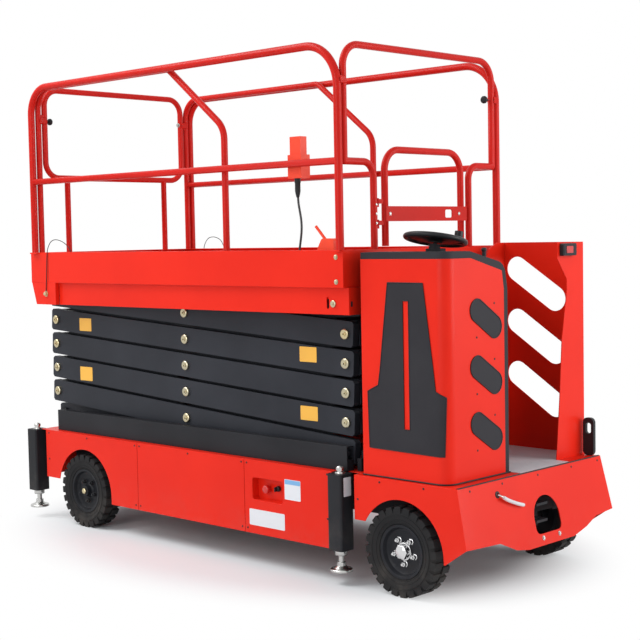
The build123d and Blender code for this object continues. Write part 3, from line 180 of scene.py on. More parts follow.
def seen_rays(tree: Tree) -> Socket:
    """Tells camera, glossy and transmission rays from the rays that light the object.

    Args:
        tree: The tree to work in.

    Returns:
        Socket that is 1 for those rays and 0 for the rest.
    """
    path = add_node(tree, "ShaderNodeLightPath").outputs
    seen = maths(tree, "MAXIMUM", path["Is Camera Ray"], path["Is Glossy Ray"])
    return maths(tree, "MAXIMUM", seen, path["Is Transmission Ray"])


# ---------------------------------------------------------------- shared effects
def fill_surface(tree: Tree, start: Sequence[Socket], end: Sequence[Socket]) -> None:
    """Paint skin: fine orange peel, broad tone drift and fine scuffs.

    Args:
        tree: The group's tree.
        start: The group's inputs.
        end: The group's outputs.
    """
    vector = start["Vector"]
    broad = noise(tree, vector, 2.1, detail=3.0, rough=0.55)
    fine = noise(tree, vector, 55.0, detail=6.0, rough=0.7)
    feed(tree, end["Height"], noise(tree, vector, start["Peel Scale"], detail=2.0, rough=0.45))
    feed(tree, end["Tone"], ramp(tree, broad, 0.3, 0.7))
    feed(tree, end["Scuff"], times(tree, ramp(tree, fine, 0.6, 0.78), start["Scuffs"]))


def fill_dust(tree: Tree, start: Sequence[Socket], end: Sequence[Socket]) -> None:
    """Road dust in blotches that gathers low down.

    Args:
        tree: The group's tree.
        start: The group's inputs.
        end: The group's outputs.
    """
    height = add_node(tree, "ShaderNodeSeparateXYZ", {0: start["Vector"]}).outputs[2]
    low = ramp(tree, height, start["Reach"], 0.0)
    blotch = ramp(tree, noise(tree, start["Vector"], 9.0, detail=6.0, rough=0.65), 0.35, 0.75)
    feed(tree, end["Mask"], times(tree, times(tree, low, blotch), start["Amount"]))


def fill_grain(tree: Tree, start: Sequence[Socket], end: Sequence[Socket]) -> None:
    """Moulded or cast grain: small cells softened by noise.

    Args:
        tree: The group's tree.
        start: The group's inputs.
        end: The group's outputs.
    """
    vector, scale = start["Vector"], start["Scale"]
    cells = add_node(tree, "ShaderNodeTexVoronoi", {"Vector": vector, "Scale": scale})
    soft = noise(tree, vector, scale, detail=3.0, rough=0.6)
    feed(tree, end["Height"], maths(tree, "ADD", times(tree, cells, 0.6), soft))
    feed(tree, end["Tone"], ramp(tree, noise(tree, vector, 4.0, detail=4.0, rough=0.6), 0.3, 0.7))


@dataclass(frozen=True)
class Effect:
    """A shader node group with a vector input, float inputs and float outputs."""

    name: str
    inputs: dict[str, float]
    outputs: tuple[str, ...]
    fill: Callable[[Tree, Sequence[Socket], Sequence[Socket]], None]

    def group(self) -> Tree:
        """Builds the group, or returns the one built before.

        Returns:
            The node group.
        """
        known = bpy.data.node_groups.get(self.name)
        if known is not None:
            return known
        tree = bpy.data.node_groups.new(self.name, "ShaderNodeTree")
        face = tree.interface
        face.new_socket(name="Vector", in_out="INPUT", socket_type="NodeSocketVector")
        for key, default in self.inputs.items():
            socket = face.new_socket(name=key, in_out="INPUT", socket_type="NodeSocketFloat")
            socket.default_value = default
        for key in self.outputs:
            face.new_socket(name=key, in_out="OUTPUT", socket_type="NodeSocketFloat")
        self.fill(tree, add_node(tree, "NodeGroupInput").outputs, add_node(tree, "NodeGroupOutput").inputs)
        return tree

    def place(self, tree: Tree, inputs: dict[str, Source]) -> Node:
        """Places the group in a material.

        Args:
            tree: The material's tree.
            inputs: Sources of the group's inputs, by name.

        Returns:
            The group's node.
        """
        return add_node(tree, "ShaderNodeGroup", inputs, node_tree=self.group())


SURFACE = Effect("surface skin", {"Peel Scale": 420.0, "Scuffs": 0.5}, ("Height", "Tone", "Scuff"), fill_surface)
LOW_DUST = Effect("low dust", {"Reach": 0.5, "Amount": 0.4}, ("Mask",), fill_dust)
GRAIN = Effect("moulded grain", {"Scale": 600.0}, ("Height", "Tone"), fill_grain)

BRUSH_STRETCH = (1.0, 1.0, 0.06)
SCUFF_ROUGHNESS = 0.22
DUST_COLOUR = (0.36, 0.31, 0.26)
DUST_ROUGHNESS = 0.4
COAT_ROUGHNESS = 0.06
SKIN_DEPTH = 0.0004
TREAD_DEPTH = 0.0015
TREAD_ACROSS = 210.0
TREAD_ALONG = 105.0
TREAD_SKIN = 0.06


@dataclass(frozen=True)
class Finish:
    """A procedural finish: a base, its variation and its surface relief."""

    name: str
    colour: Point
    deep: Point
    roughness: float = 0.4
    metallic: float = 0.0
    coat: float = 0.0
    specular: float = 0.5
    relief: float = 0.05
    scale: float = 420.0
    scuffs: float = 0.4
    dust: float = 0.0
    dust_reach: float = 0.45
    grained: bool = False
    brushed: bool = False
    tread_plate: bool = False

    def material(self) -> bpy.types.Material:
        """Builds the material, or returns the one built before.

        Returns:
            The material.
        """
        known = bpy.data.materials.get(self.name)
        if known is not None:
            return known
        made = bpy.data.materials.new(self.name)
        made.use_nodes = True
        tree = made.node_tree
        place = add_node(tree, "ShaderNodeTexCoord").outputs["Object"]
        skin, scuff = self._skin(tree, place)
        colour = mix_colour(tree, skin["Tone"], self.colour, self.deep)
        rough = maths(tree, "ADD", times(tree, scuff, SCUFF_ROUGHNESS), self.roughness)
        if self.dust:
            mask = LOW_DUST.place(tree, {"Vector": place, "Reach": self.dust_reach, "Amount": self.dust})
            colour = mix_colour(tree, mask, colour, DUST_COLOUR)
            rough = maths(tree, "ADD", rough, times(tree, mask, DUST_ROUGHNESS))
        height, depth = skin["Height"], SKIN_DEPTH
        if self.tread_plate:
            height, depth = self._tread(tree, place, height), TREAD_DEPTH
        bump = add_node(tree, "ShaderNodeBump", {"Strength": self.relief, "Distance": depth, "Height": height})
        shader = tree.nodes["Principled BSDF"]
        looks = {
            "Base Color": colour, "Roughness": rough, "Metallic": self.metallic,
            "Specular IOR Level": self.specular, "Coat Weight": self.coat,
            "Coat Roughness": COAT_ROUGHNESS, "Normal": bump,
        }
        for key, source in looks.items():
            feed(tree, shader.inputs[key], source)
        return made

    def _skin(self, tree: Tree, place: Socket) -> tuple[Sequence[Socket], Socket]:
        """Places the grain or the paint skin.

        Args:
            tree: The material's tree.
            place: Object coordinates.

        Returns:
            The effect's outputs and the scuff mask.
        """
        vector = place
        if self.brushed:
            vector = add_node(tree, "ShaderNodeMapping", {"Vector": place, "Scale": BRUSH_STRETCH}).outputs[0]
        if self.grained:
            skin = GRAIN.place(tree, {"Vector": vector, "Scale": self.scale}).outputs
            return skin, times(tree, skin["Tone"], self.scuffs)
        inputs = {"Vector": vector, "Peel Scale": self.scale, "Scuffs": self.scuffs}
        skin = SURFACE.place(tree, inputs).outputs
        return skin, skin["Scuff"]

    def _tread(self, tree: Tree, place: Socket, height: Socket) -> Socket:
        """Raised bars in alternate directions, as on pressed floor plate.

        Args:
            tree: The material's tree.
            place: Object coordinates.
            height: Height of the skin on the plate.

        Returns:
            The height of bars and skin.
        """
        x, y, _ = add_node(tree, "ShaderNodeSeparateXYZ", {0: place}).outputs
        bars = []
        for turn in (math.radians(45), math.radians(-45)):
            cos, sin = math.cos(turn), math.sin(turn)
            across = maths(tree, "ADD", times(tree, x, cos), times(tree, y, sin))
            along = maths(tree, "SUBTRACT", times(tree, y, cos), times(tree, x, sin))
            wave = ramp(tree, maths(tree, "SINE", times(tree, across, TREAD_ACROSS)), 0.72, 0.95)
            cut = ramp(tree, maths(tree, "SINE", times(tree, along, TREAD_ALONG)), 0.2, 0.5)
            bars.append(times(tree, wave, cut))
        return maths(tree, "ADD", maths(tree, "MAXIMUM", *bars), times(tree, height, TREAD_SKIN))


RED = Finish("red enamel", (0.74, 0.020, 0.007), (0.69, 0.017, 0.006), 0.36,
             coat=0.04, specular=0.12, relief=0.12, dust=0.10, dust_reach=0.4)
# Darker copy of the red enamel for the round rails and the clamp straps: painted shade in the colour.
RED_RAIL_SHADED = Finish("red rail enamel with painted shade", (0.56, 0.014, 0.009), (0.50, 0.012, 0.007), 0.32,
                  coat=0.04, specular=0.10, relief=0.1, scuffs=0.6)
BLACK = Finish("black enamel", (0.013, 0.0135, 0.016), (0.019, 0.0195, 0.023), 0.48,
               coat=0.02, specular=0.15, relief=0.12, dust=0.12)
ARM = Finish("anthracite enamel", (0.019, 0.0205, 0.026), (0.026, 0.028, 0.035), 0.48,
             coat=0.03, specular=0.15, relief=0.12)
PLASTIC = Finish("grained black plastic", (0.024, 0.023, 0.027), (0.030, 0.029, 0.033), 0.55,
                 relief=0.25, scale=900.0, grained=True, specular=0.14)
HARD_BLACK = Finish("smooth black plastic", (0.012, 0.012, 0.014), (0.018, 0.018, 0.02), 0.3,
                    relief=0.08, scale=700.0, grained=True, specular=0.2)
RUBBER = Finish("tyre rubber", (0.014, 0.014, 0.015), (0.022, 0.021, 0.021), 0.62,
                relief=0.35, scale=500.0, grained=True, dust=0.12, dust_reach=0.3, specular=0.12)
CABLE = Finish("cable jacket", (0.016, 0.016, 0.017), (0.024, 0.024, 0.025), 0.5,
               relief=0.2, scale=900.0, grained=True)
RIM = Finish("rim enamel", (0.010, 0.011, 0.014), (0.016, 0.017, 0.021), 0.42,
             coat=0.03, specular=0.12, relief=0.15, dust=0.04)
ZINC = Finish("yellow zinc", (0.62, 0.52, 0.30), (0.50, 0.46, 0.34), 0.3,
              metallic=1.0, relief=0.15, scale=300.0)
STEEL = Finish("bright steel", (0.60, 0.60, 0.58), (0.48, 0.48, 0.47), 0.26,
               metallic=1.0, relief=0.15, brushed=True)
CHROME = Finish("polished chrome", (0.72, 0.72, 0.72), (0.64, 0.64, 0.65), 0.12, metallic=1.0, relief=0.04)
BATTERY = Finish("battery case", (0.05, 0.05, 0.055), (0.07, 0.07, 0.075), 0.6,
                 relief=0.2, grained=True, dust=0.5)
SHEET = Finish("pale floor sheet", (0.62, 0.63, 0.65), (0.52, 0.53, 0.55), 0.45, relief=0.6, tread_plate=True)
LABEL_YELLOW = Finish("yellow label", (0.80, 0.42, 0.05), (0.74, 0.38, 0.05), 0.4, relief=0.05)
LABEL_WHITE = Finish("white label", (0.74, 0.75, 0.77), (0.66, 0.68, 0.71), 0.35, relief=0.05)
LABEL_BLUE = Finish("blue label band", (0.20, 0.42, 0.70), (0.17, 0.38, 0.64), 0.35, relief=0.05)
LENS = Finish("red lens", (0.55, 0.01, 0.01), (0.42, 0.008, 0.008), 0.12,
              coat=0.6, relief=0.5, scale=160.0, grained=True)
BUTTON = Finish("red button", (0.62, 0.012, 0.010), (0.52, 0.01, 0.01), 0.25, coat=0.4, relief=0.05)
CONTROL = Finish("control box shell", (0.86, 0.07, 0.022), (0.76, 0.05, 0.02), 0.35,
                 relief=0.2, scale=700.0, grained=True, specular=0.3)
SLEEVE = Finish("pale sleeve", (0.66, 0.66, 0.67), (0.56, 0.56, 0.58), 0.45,
                relief=0.2, scale=500.0, grained=True)
# Dark red for the painted shadow line at the deck sheet's seam.
SEAM_SHADOW = Finish("seam shadow", (0.10, 0.006, 0.004), (0.08, 0.005, 0.004), 0.6, relief=0.05)


# ------------------------------------------------------------------ mesh helpers
@dataclass(frozen=True)
class Edge:
    """Rounding of the edges of a mesh that are sharper than an angle in degrees."""

    width: float
    angle: float = 35.0
    segments: int = 2


def link(name: str, data: bpy.types.ID) -> Piece:
    """Makes an object of mesh, curve, lamp or camera data and links it to the scene.

    Args:
        name: The object's name.
        data: Its data.

    Returns:
        The object, at the origin.
    """
    obj = bpy.data.objects.new(name, data)
    bpy.context.scene.collection.objects.link(obj)
    return obj


def mesh_object(name: str, bm: bmesh.types.BMesh, material: bpy.types.Material) -> Piece:
    """Turns a bmesh into a linked object with one material.

    Args:
        name: The object's name.
        bm: Its mesh, freed here.
        material: Its material.

    Returns:
        The new object, at the origin.
    """
    mesh = bpy.data.meshes.new(name)
    bm.to_mesh(mesh)
    bm.free()
    mesh.materials.append(material)
    return link(name, mesh)


def smooth(obj: Piece, angle: float = 32.0) -> Piece:
    """Shades a mesh smooth and keeps edges sharper than the angle sharp.

    Args:
        obj: The piece.
        angle: The angle in degrees.

    Returns:
        The same object.
    """
    mesh = obj.data
    for face in mesh.polygons:
        face.use_smooth = True
    mesh.set_sharp_from_angle(angle=math.radians(angle))
    return obj


def bake_modifiers(obj: Piece) -> Piece:
    """Replaces an object's mesh by its evaluated one and drops the modifiers.

    Args:
        obj: The piece.

    Returns:
        The same object with a plain mesh.
    """
    bpy.context.view_layer.update()
    graph = bpy.context.evaluated_depsgraph_get()
    mesh = bpy.data.meshes.new_from_object(obj.evaluated_get(graph))
    obj.modifiers.clear()
    obj.data = mesh
    return obj


def rounded(obj: Piece, edge: Edge) -> Piece:
    """Rounds the sharp edges of a mesh and evens its shading.

    Args:
        obj: The piece.
        edge: The rounding.

    Returns:
        The same object with a plain mesh.
    """
    bevel = obj.modifiers.new("edges", "BEVEL")
    bevel.width = edge.width
    bevel.segments = edge.segments
    bevel.angle_limit = math.radians(edge.angle)
    for face in obj.data.polygons:
        face.use_smooth = True
    even = obj.modifiers.new("shading", "WEIGHTED_NORMAL")
    even.keep_sharp = True
    return bake_modifiers(obj)


def settle(obj: Piece, body: str, slot: Slot, *stands_for: str) -> Piece:
    """Gives a finished piece its body and hides the nodes it stands for.

    Args:
        obj: The piece.
        body: The body it rides on.
        slot: Not used.
        stands_for: CAD nodes that it replaces.

    Returns:
        The piece.
    """
    obj.name = obj.name.replace(" ", "_")
    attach(obj, body)
    if stands_for:
        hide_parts(*stands_for)
    LOG.info("piece %s rides on %s", obj.name, body)
    return obj


def axis_matrix(at: Point, facing: Point) -> Matrix:
    """Matrix that puts local Z along a direction at a point."""
    return Matrix.Translation(at) @ Vector(facing).to_track_quat("Z", "Y").to_matrix().to_4x4()


def smooth_path(points: Sequence[Point], steps: int = 8) -> list[Point]:
    """Draws a Catmull-Rom line through points.

    Args:
        points: The points.
        steps: Steps from each point to the next.

    Returns:
        Points of the line.
    """
    ends = [points[0], *points, points[-1]]
    line: list[Point] = []
    for index in range(1, len(ends) - 2):
        a, b, c, d = (Vector(end) for end in ends[index - 1:index + 3])
        for step in range(steps):
            t = step / steps
            curve = (2 * a - 5 * b + 4 * c - d) * t**2 + (3 * b - a - 3 * c + d) * t**3
            line.append(tuple(0.5 * ((2 * b) + (c - a) * t + curve)))
    return [*line, tuple(points[-1])]


@dataclass
class Form:
    """A mesh in the making; every method that adds to it returns it."""

    bm: bmesh.types.BMesh = field(default_factory=bmesh.new)

    def box(self, low: Point, high: Point) -> "Form":
        """Adds a box between two corners.

        Args:
            low: Its lowest corner.
            high: Its highest corner.

        Returns:
            The form itself.
        """
        centre = (Vector(low) + Vector(high)) / 2
        size = Vector(high) - Vector(low)
        matrix = Matrix.Translation(centre) @ Matrix.Diagonal((*size, 1.0))
        bmesh.ops.create_cube(self.bm, size=1.0, matrix=matrix)
        return self

    def lathe(self, outline: Sequence[Pair], matrix: Matrix, steps: int, rise: float = 0.0) -> "Form":
        """Revolves a closed (radius, height) outline about local Z.

        Args:
            outline: Outline points; a radius of zero closes on the axis.
            matrix: Places the form.
            steps: Facets round the axis.
            rise: Height of the outline's zero.

        Returns:
            The form itself.
        """
        rings: list[Ring] = []
        for radius, height in outline:
            turns = [2 * math.pi * index / steps for index in range(steps if radius else 1)]
            spots = [(radius * math.cos(turn), radius * math.sin(turn), height + rise) for turn in turns]
            rings.append([self.bm.verts.new(matrix @ Vector(spot)) for spot in spots])
        closed = len(rings[0]) > 1 and len(rings[-1]) > 1
        for lower, upper in zip(rings, [*rings[1:], rings[0]] if closed else rings[1:]):
            for index in range(steps):
                after = index + 1
                corners = [lower[index % len(lower)], lower[after % len(lower)],
                           upper[after % len(upper)], upper[index % len(upper)]]
                unique = list(dict.fromkeys(corners))
                if len(unique) > 2:
                    self.bm.faces.new(unique)
        return self

    def tube(self, points: Sequence[Point], radius: float, steps: int) -> "Form":
        """Adds a round tube with closed ends along points.

        Args:
            points: The tube's middle line.
            radius: Its radius.
            steps: Facets round it.

        Returns:
            The form itself.
        """
        path = [Vector(point) for point in points]
        rings: list[Ring] = []
        side = None
        for index, point in enumerate(path):
            ahead = (path[min(index + 1, len(path) - 1)] - path[max(index - 1, 0)]).normalized()
            if side is None:
                side = ahead.orthogonal().normalized()
            side = (side - ahead * side.dot(ahead)).normalized()
            other = ahead.cross(side)
            turns = [2 * math.pi * step / steps for step in range(steps)]
            spots = [point + radius * (side * math.cos(turn) + other * math.sin(turn)) for turn in turns]
            rings.append([self.bm.verts.new(spot) for spot in spots])
        return self.wrap(rings)

    def wrap(self, rings: Sequence[Ring]) -> "Form":
        """Closes a stack of equal rings with walls and two ends.

        Args:
            rings: Rings of vertices, from the first end to the last.

        Returns:
            The form itself.
        """
        for lower, upper in zip(rings, rings[1:]):
            for index, corner in enumerate(lower):
                after = (index + 1) % len(lower)
                self.bm.faces.new((corner, lower[after], upper[after], upper[index]))
        self.bm.faces.new(list(reversed(rings[0])))
        self.bm.faces.new(rings[-1])
        return self

    def piece(
        self, name: str, finish: Finish, body: str, slot: Slot, angle: float = 40.0, edge: Edge | None = None
    ) -> Piece:
        """Merges doubles, turns every face outwards and settles the mesh as a piece.

        Args:
            name: The piece's name.
            finish: Its finish.
            body: The body it rides on.
            slot: The record's slot.
            angle: Edges sharper than this many degrees stay sharp.
            edge: Rounding of its edges, in place of the angle.

        Returns:
            The piece.
        """
        bmesh.ops.remove_doubles(self.bm, verts=self.bm.verts, dist=1e-6)
        bmesh.ops.recalc_face_normals(self.bm, faces=self.bm.faces)
        obj = mesh_object(name, self.bm, finish.material())
        return settle(rounded(obj, edge) if edge else smooth(obj, angle), body, slot)


@dataclass(frozen=True)
class Plate:
    """Thin plate with round corners that lies on a surface; at is the middle of its back."""

    name: str
    finish: Finish
    at: Point
    facing: Point
    size: Pair
    thick: float = 0.0008
    corner: float = 0.004
    body: str = "chassis"
    slot: Slot = Slot.RED

    def build(self) -> Piece:
        """Adds the plate.

        Returns:
            The plate.
        """
        out = Vector(self.facing).normalized()
        across = Vector(UP).cross(out).normalized()
        upright = out.cross(across)
        half_w, half_h = (side / 2 - self.corner for side in self.size)
        rim: list[Pair] = []
        for quarter, (sx, sy) in enumerate(((1, 1), (-1, 1), (-1, -1), (1, -1))):
            for step in range(5):
                turn = math.radians(90 * quarter + 22.5 * step)
                rim.append((sx * half_w + self.corner * math.cos(turn), sy * half_h + self.corner * math.sin(turn)))
        form = Form()
        rings: list[Ring] = []
        for inset, depth in ((0.0, 0.0), (0.0, 0.7), (0.3, 1.0)):
            shrink = 1 - inset * self.thick / max(self.size)
            back = Vector(self.at) + out * self.thick * depth
            rings.append([form.bm.verts.new(back + (across * u + upright * v) * shrink) for u, v in rim])
        return form.wrap(rings).piece(self.name, self.finish, self.body, self.slot, 30.0)


# ------------------------------------------------------- geometry node patterns
class Head(Enum):
    """Kinds of fastener head."""

    BOLT = "bolt"
    SCREW = "screw"
    PIN = "pin"


@dataclass(frozen=True)
class Storey:
    """One cylinder or cone of a fastener head, in shares of the head's radius and height."""

    sides: int
    bottom: float
    top: float
    depth: float
    lift: float

    def build(self, tree: Tree, radius: Socket, height: Socket) -> Socket:
        """Adds the storey to a geometry tree.

        Args:
            tree: The tree.
            radius: The head's radius.
            height: The head's height.

        Returns:
            The raised storey's geometry.
        """
        inputs = {"Vertices": self.sides, "Depth": times(tree, height, self.depth)}
        if self.top == self.bottom:
            inputs["Radius"] = times(tree, radius, self.top)
            made = add_node(tree, "GeometryNodeMeshCylinder", inputs)
        else:
            inputs["Radius Top"] = times(tree, radius, self.top)
            inputs["Radius Bottom"] = times(tree, radius, self.bottom)
            made = add_node(tree, "GeometryNodeMeshCone", inputs)
        offset = add_node(tree, "ShaderNodeCombineXYZ", {2: times(tree, height, self.lift)})
        move = {"Geometry": made.outputs["Mesh"], "Translation": offset}
        return add_node(tree, "GeometryNodeTransform", move).outputs[0]


# A bolt is a washer under a chamfered hexagon, a screw a dome on a rim, and a pin a flange with a
# chamfer, a boss and a grease nipple.
STOREYS = {
    Head.BOLT: (
        Storey(20, 1.45, 1.45, 0.28, 0.14), Storey(6, 1.0, 1.0, 0.6, 0.55), Storey(6, 1.0, 0.8, 0.15, 0.85)
    ),
    Head.SCREW: (Storey(16, 1.0, 1.0, 0.4, 0.2), Storey(16, 0.92, 0.55, 0.5, 0.4)),
    Head.PIN: (
        Storey(32, 1.0, 1.0, 0.8, 0.4), Storey(32, 1.0, 0.86, 0.2, 0.8),
        Storey(6, 0.5, 0.5, 0.35, 1.1), Storey(10, 0.2, 0.12, 0.5, 1.25),
    ),
}
HEAD_SIZES = {"Head Radius": 0.006, "Head Height": 0.004}


class HeadTree:
    """Geometry Nodes tree that sets one kind of fastener head on every point of a mesh."""

    def __init__(self, kind: Head) -> None:
        """Builds the tree.

        Args:
            kind: The head that it sets.
        """
        self.tree = tree = bpy.data.node_groups.new(f"{kind.value} heads", "GeometryNodeTree")
        face = tree.interface
        face.new_socket(name="Geometry", in_out="INPUT", socket_type="NodeSocketGeometry")
        self.keys: dict[str, str] = {}
        for key, default in HEAD_SIZES.items():
            socket = face.new_socket(name=key, in_out="INPUT", socket_type="NodeSocketFloat")
            socket.default_value = default
            self.keys[key] = socket.identifier
        socket = face.new_socket(name="Material", in_out="INPUT", socket_type="NodeSocketMaterial")
        self.keys["Material"] = socket.identifier
        face.new_socket(name="Geometry", in_out="OUTPUT", socket_type="NodeSocketGeometry")
        start = add_node(tree, "NodeGroupInput").outputs
        facing = add_node(
            tree, "GeometryNodeInputNamedAttribute", {"Name": "facing"}, data_type="FLOAT_VECTOR"
        )
        align = add_node(tree, "FunctionNodeAlignRotationToVector", {"Vector": facing}, axis="Z")
        head = add_node(tree, "GeometryNodeJoinGeometry")
        for storey in STOREYS[kind]:
            feed(tree, head.inputs[0], storey.build(tree, start["Head Radius"], start["Head Height"]))
        spread = {"Points": start["Geometry"], "Instance": head, "Rotation": align}
        realize = add_node(
            tree, "GeometryNodeRealizeInstances", {0: add_node(tree, "GeometryNodeInstanceOnPoints", spread)}
        )
        paint = {"Geometry": realize, "Material": start["Material"]}
        add_node(tree, "NodeGroupOutput", {0: add_node(tree, "GeometryNodeSetMaterial", paint)})


@dataclass
class Hardware:
    """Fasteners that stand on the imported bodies, one mesh for each body and kind."""

    trees: dict[Head, HeadTree] = field(default_factory=dict)

    def lay(
        self, name: str, body: str, kind: Head, spots: Sequence[Spot], finish: Finish, radius: float, height: float
    ) -> Piece:
        """Sets one kind of head on points of one body, as one plain mesh.

        Args:
            name: The piece's name.
            body: The body it rides on.
            kind: The kind of head.
            spots: Each point with the direction its head faces.
            finish: The finish of every head.
            radius: Head radius.
            height: Head height.

        Returns:
            The piece.
        """
        if kind not in self.trees:
            self.trees[kind] = HeadTree(kind)
        mesh = bpy.data.meshes.new(name)
        mesh.from_pydata([point for point, _ in spots], [], [])
        facing = mesh.attributes.new("facing", "FLOAT_VECTOR", "POINT")
        for index, (_, direction) in enumerate(spots):
            facing.data[index].vector = direction
        obj = link(name, mesh)
        modifier = obj.modifiers.new("pattern", "NODES")
        modifier.node_group = self.trees[kind].tree
        values = {"Head Radius": radius, "Head Height": height, "Material": finish.material()}
        for key, value in values.items():
            modifier[self.trees[kind].keys[key]] = value
        return settle(smooth(bake_modifiers(obj), 25.0), body, Slot.ZINC)


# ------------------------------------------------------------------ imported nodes
RECORD = frame["record"]
BODY_OF = {node: body for body, nodes in RECORD["behaviour"]["bodies"].items() for node in nodes}
SLOT_OF = {part["node"]: Slot(part["material_slot"]) for part in RECORD["subparts"]}
SLOT_FINISH = {
    Slot.RED: RED, Slot.BLACK: BLACK, Slot.ARM: ARM, Slot.PLASTIC: PLASTIC, Slot.TYRE: RUBBER,
    Slot.RIM: RIM, Slot.ZINC: STEEL, Slot.CHROME: CHROME, Slot.BATTERY: BATTERY, Slot.CABLE: CABLE,
    Slot.SHEET: SHEET, Slot.CONTROL: CONTROL,
}
RAILS = ("main_rails", "end_rails", "slide_rails", "entry_gate")
# The rails get the darker copy of the red enamel, which paints their shade into the colour.
NODE_FINISH = {node: RED_RAIL_SHADED for node in RAILS} | {"steering_wheel": HARD_BLACK, "cab_fittings": HARD_BLACK}


@dataclass
class Skins:
    """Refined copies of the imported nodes: merged, with rounded edges and even shading."""

    edge: float = 0.0016
    arm_edge: float = 0.0045
    left_out: tuple[str, ...] = ("control_cable",)

    def build(self) -> None:
        """Makes the copy of every node that nothing else stands for."""
        for node, source in frame["nodes"].items():
            if node not in self.left_out:
                self.copy(node, source, NODE_FINISH.get(node, SLOT_FINISH[SLOT_OF[node]]))

    def copy(self, node: str, source: Piece, finish: Finish) -> Piece:
        """Copies one node's mesh and refines it; round rails are only shaded.

        Args:
            node: The node's name.
            source: Its packed object, left as it is.
            finish: The finish of the copy.

        Returns:
            The copy, which stands for the node.
        """
        bm = bmesh.new()
        bm.from_mesh(source.data)
        bmesh.ops.remove_doubles(bm, verts=bm.verts, dist=2e-6)
        bmesh.ops.dissolve_limit(bm, angle_limit=math.radians(0.6), verts=bm.verts, edges=bm.edges)
        obj = mesh_object(f"{node} skin", bm, finish.material())
        if node in RAILS:
            smooth(obj)
        else:
            rounded(obj, Edge(self.arm_edge if "_arms_" in node else self.edge))
        return settle(obj, BODY_OF[node], SLOT_OF[node], node)


# -------------------------------------------------------------- camera and studio
@dataclass
class Camera:
    """View of the machine from its near front corner, with angles in degrees."""

    place: Point = (5.1560, -5.1605, 1.6452)
    azimuth: float = 43.770
    pitch: float = 3.581
    roll: float = -1.0736
    lens: float = 75.74

    def build(self) -> None:
        """Adds the camera and makes it the scene's own."""
        azimuth, pitch, roll = (math.radians(value) for value in (self.azimuth, self.pitch, self.roll))
        sin, cos = math.sin(azimuth), math.cos(azimuth)
        ahead = Vector((-sin * math.cos(pitch), cos * math.cos(pitch), -math.sin(pitch)))
        level = Vector((cos, sin, 0))
        above = level.cross(ahead)
        right = math.cos(roll) * level + math.sin(roll) * above
        up = -math.sin(roll) * level + math.cos(roll) * above
        data = bpy.data.cameras.new("view")
        data.lens = self.lens
        data.sensor_width = 36.0
        data.clip_end = 200.0
        camera = link("view", data)
        camera.matrix_world = Matrix.Translation(self.place) @ Matrix((right, up, -ahead)).transposed().to_4x4()
        bpy.context.scene.camera = camera


@dataclass(frozen=True)
class Lamp:
    """Square soft lamp aimed at a point, with its side in metres and its power in watts."""

    name: str
    at: Point
    aim: Point
    size: float
    power: float

    def build(self) -> None:
        """Adds the lamp."""
        data = bpy.data.lights.new(self.name, "AREA")
        data.size = self.size
        data.energy = self.power
        link(self.name, data).matrix_world = axis_matrix(self.at, tuple(Vector(self.at) - Vector(self.aim)))


@dataclass
class Studio:
    """Pale floor that fades to white, white backdrop and soft lamps."""

    floor_half: float = 60.0
    floor_colour: tuple[float, ...] = (0.80, 0.82, 0.83, 1.0)
    fade: Pair = (1.05, 1.6)
    fade_centre: Point = (-0.1, 0.05, 0.0)
    fade_scale: Point = (0.8, 1.15, 1.0)
    sky_colour: tuple[float, ...] = (0.93, 0.95, 1.0, 1.0)
    sky_strength: float = 0.55
    lamps: tuple[Lamp, ...] = (
        Lamp("key", (-3.2, -3.6, 6.5), (0.0, 0.0, 0.6), 4.5, 370.0),
        Lamp("side", (6.2, 2.6, 2.6), (1.2, 0.0, 0.9), 4.0, 240.0),
        Lamp("front", (1.5, -7.5, 3.0), (0.0, 0.0, 1.2), 4.0, 165.0),
    )

    def build(self) -> None:
        """Adds the floor, the world and the lamps."""
        bm = bmesh.new()
        bmesh.ops.create_grid(bm, x_segments=1, y_segments=1, size=self.floor_half)
        paint = bpy.data.materials.new("studio floor")
        paint.use_nodes = True
        self._floor_paint(paint.node_tree)
        floor = mesh_object("studio floor", bm, paint)
        self._world()
        for lamp in self.lamps:
            lamp.build()
        bpy.context.scene.view_settings.view_transform = "Standard"

    def _floor_paint(self, tree: Tree) -> None:
        """Pale matt floor that the camera sees fade to plain white away from the machine.

        Args:
            tree: The floor material's tree.
        """
        shader = tree.nodes["Principled BSDF"]
        for key, value in {
            "Base Color": self.floor_colour, "Roughness": 0.7, "Specular IOR Level": 0.1
        }.items():
            feed(tree, shader.inputs[key], value)
        place = add_node(tree, "ShaderNodeTexCoord").outputs["Object"]
        shift = add_node(tree, "ShaderNodeVectorMath", {0: place, 1: self.fade_centre}, operation="SUBTRACT")
        spread = add_node(tree, "ShaderNodeVectorMath", {0: shift, 1: self.fade_scale}, operation="MULTIPLY")
        reach = add_node(tree, "ShaderNodeVectorMath", {0: spread}, operation="LENGTH").outputs["Value"]
        white = add_node(tree, "ShaderNodeEmission")
        share = times(tree, ramp(tree, reach, *self.fade), seen_rays(tree))
        mix = add_node(tree, "ShaderNodeMixShader", {0: share, 1: shader, 2: white})
        feed(tree, tree.nodes["Material Output"].inputs["Surface"], mix)

    def _world(self) -> None:
        """White to the camera, softer and cooler as a light source."""
        world = bpy.data.worlds.new("studio")
        bpy.context.scene.world = world
        world.use_nodes = True
        tree = world.node_tree
        tree.nodes.clear()
        soft = {"Color": self.sky_colour, "Strength": self.sky_strength}
        white = {"Color": (1.0, 1.0, 1.0, 1.0), "Strength": 1.0}
        first, second = (add_node(tree, "ShaderNodeBackground", light) for light in (soft, white))
        mix = add_node(tree, "ShaderNodeMixShader", {0: seen_rays(tree), 1: first, 2: second})
        add_node(tree, "ShaderNodeOutputWorld", {"Surface": mix})


# ------------------------------------------------------------------ sub-assemblies
CABLE_EXIT = (0.617, -0.559, 1.8599)


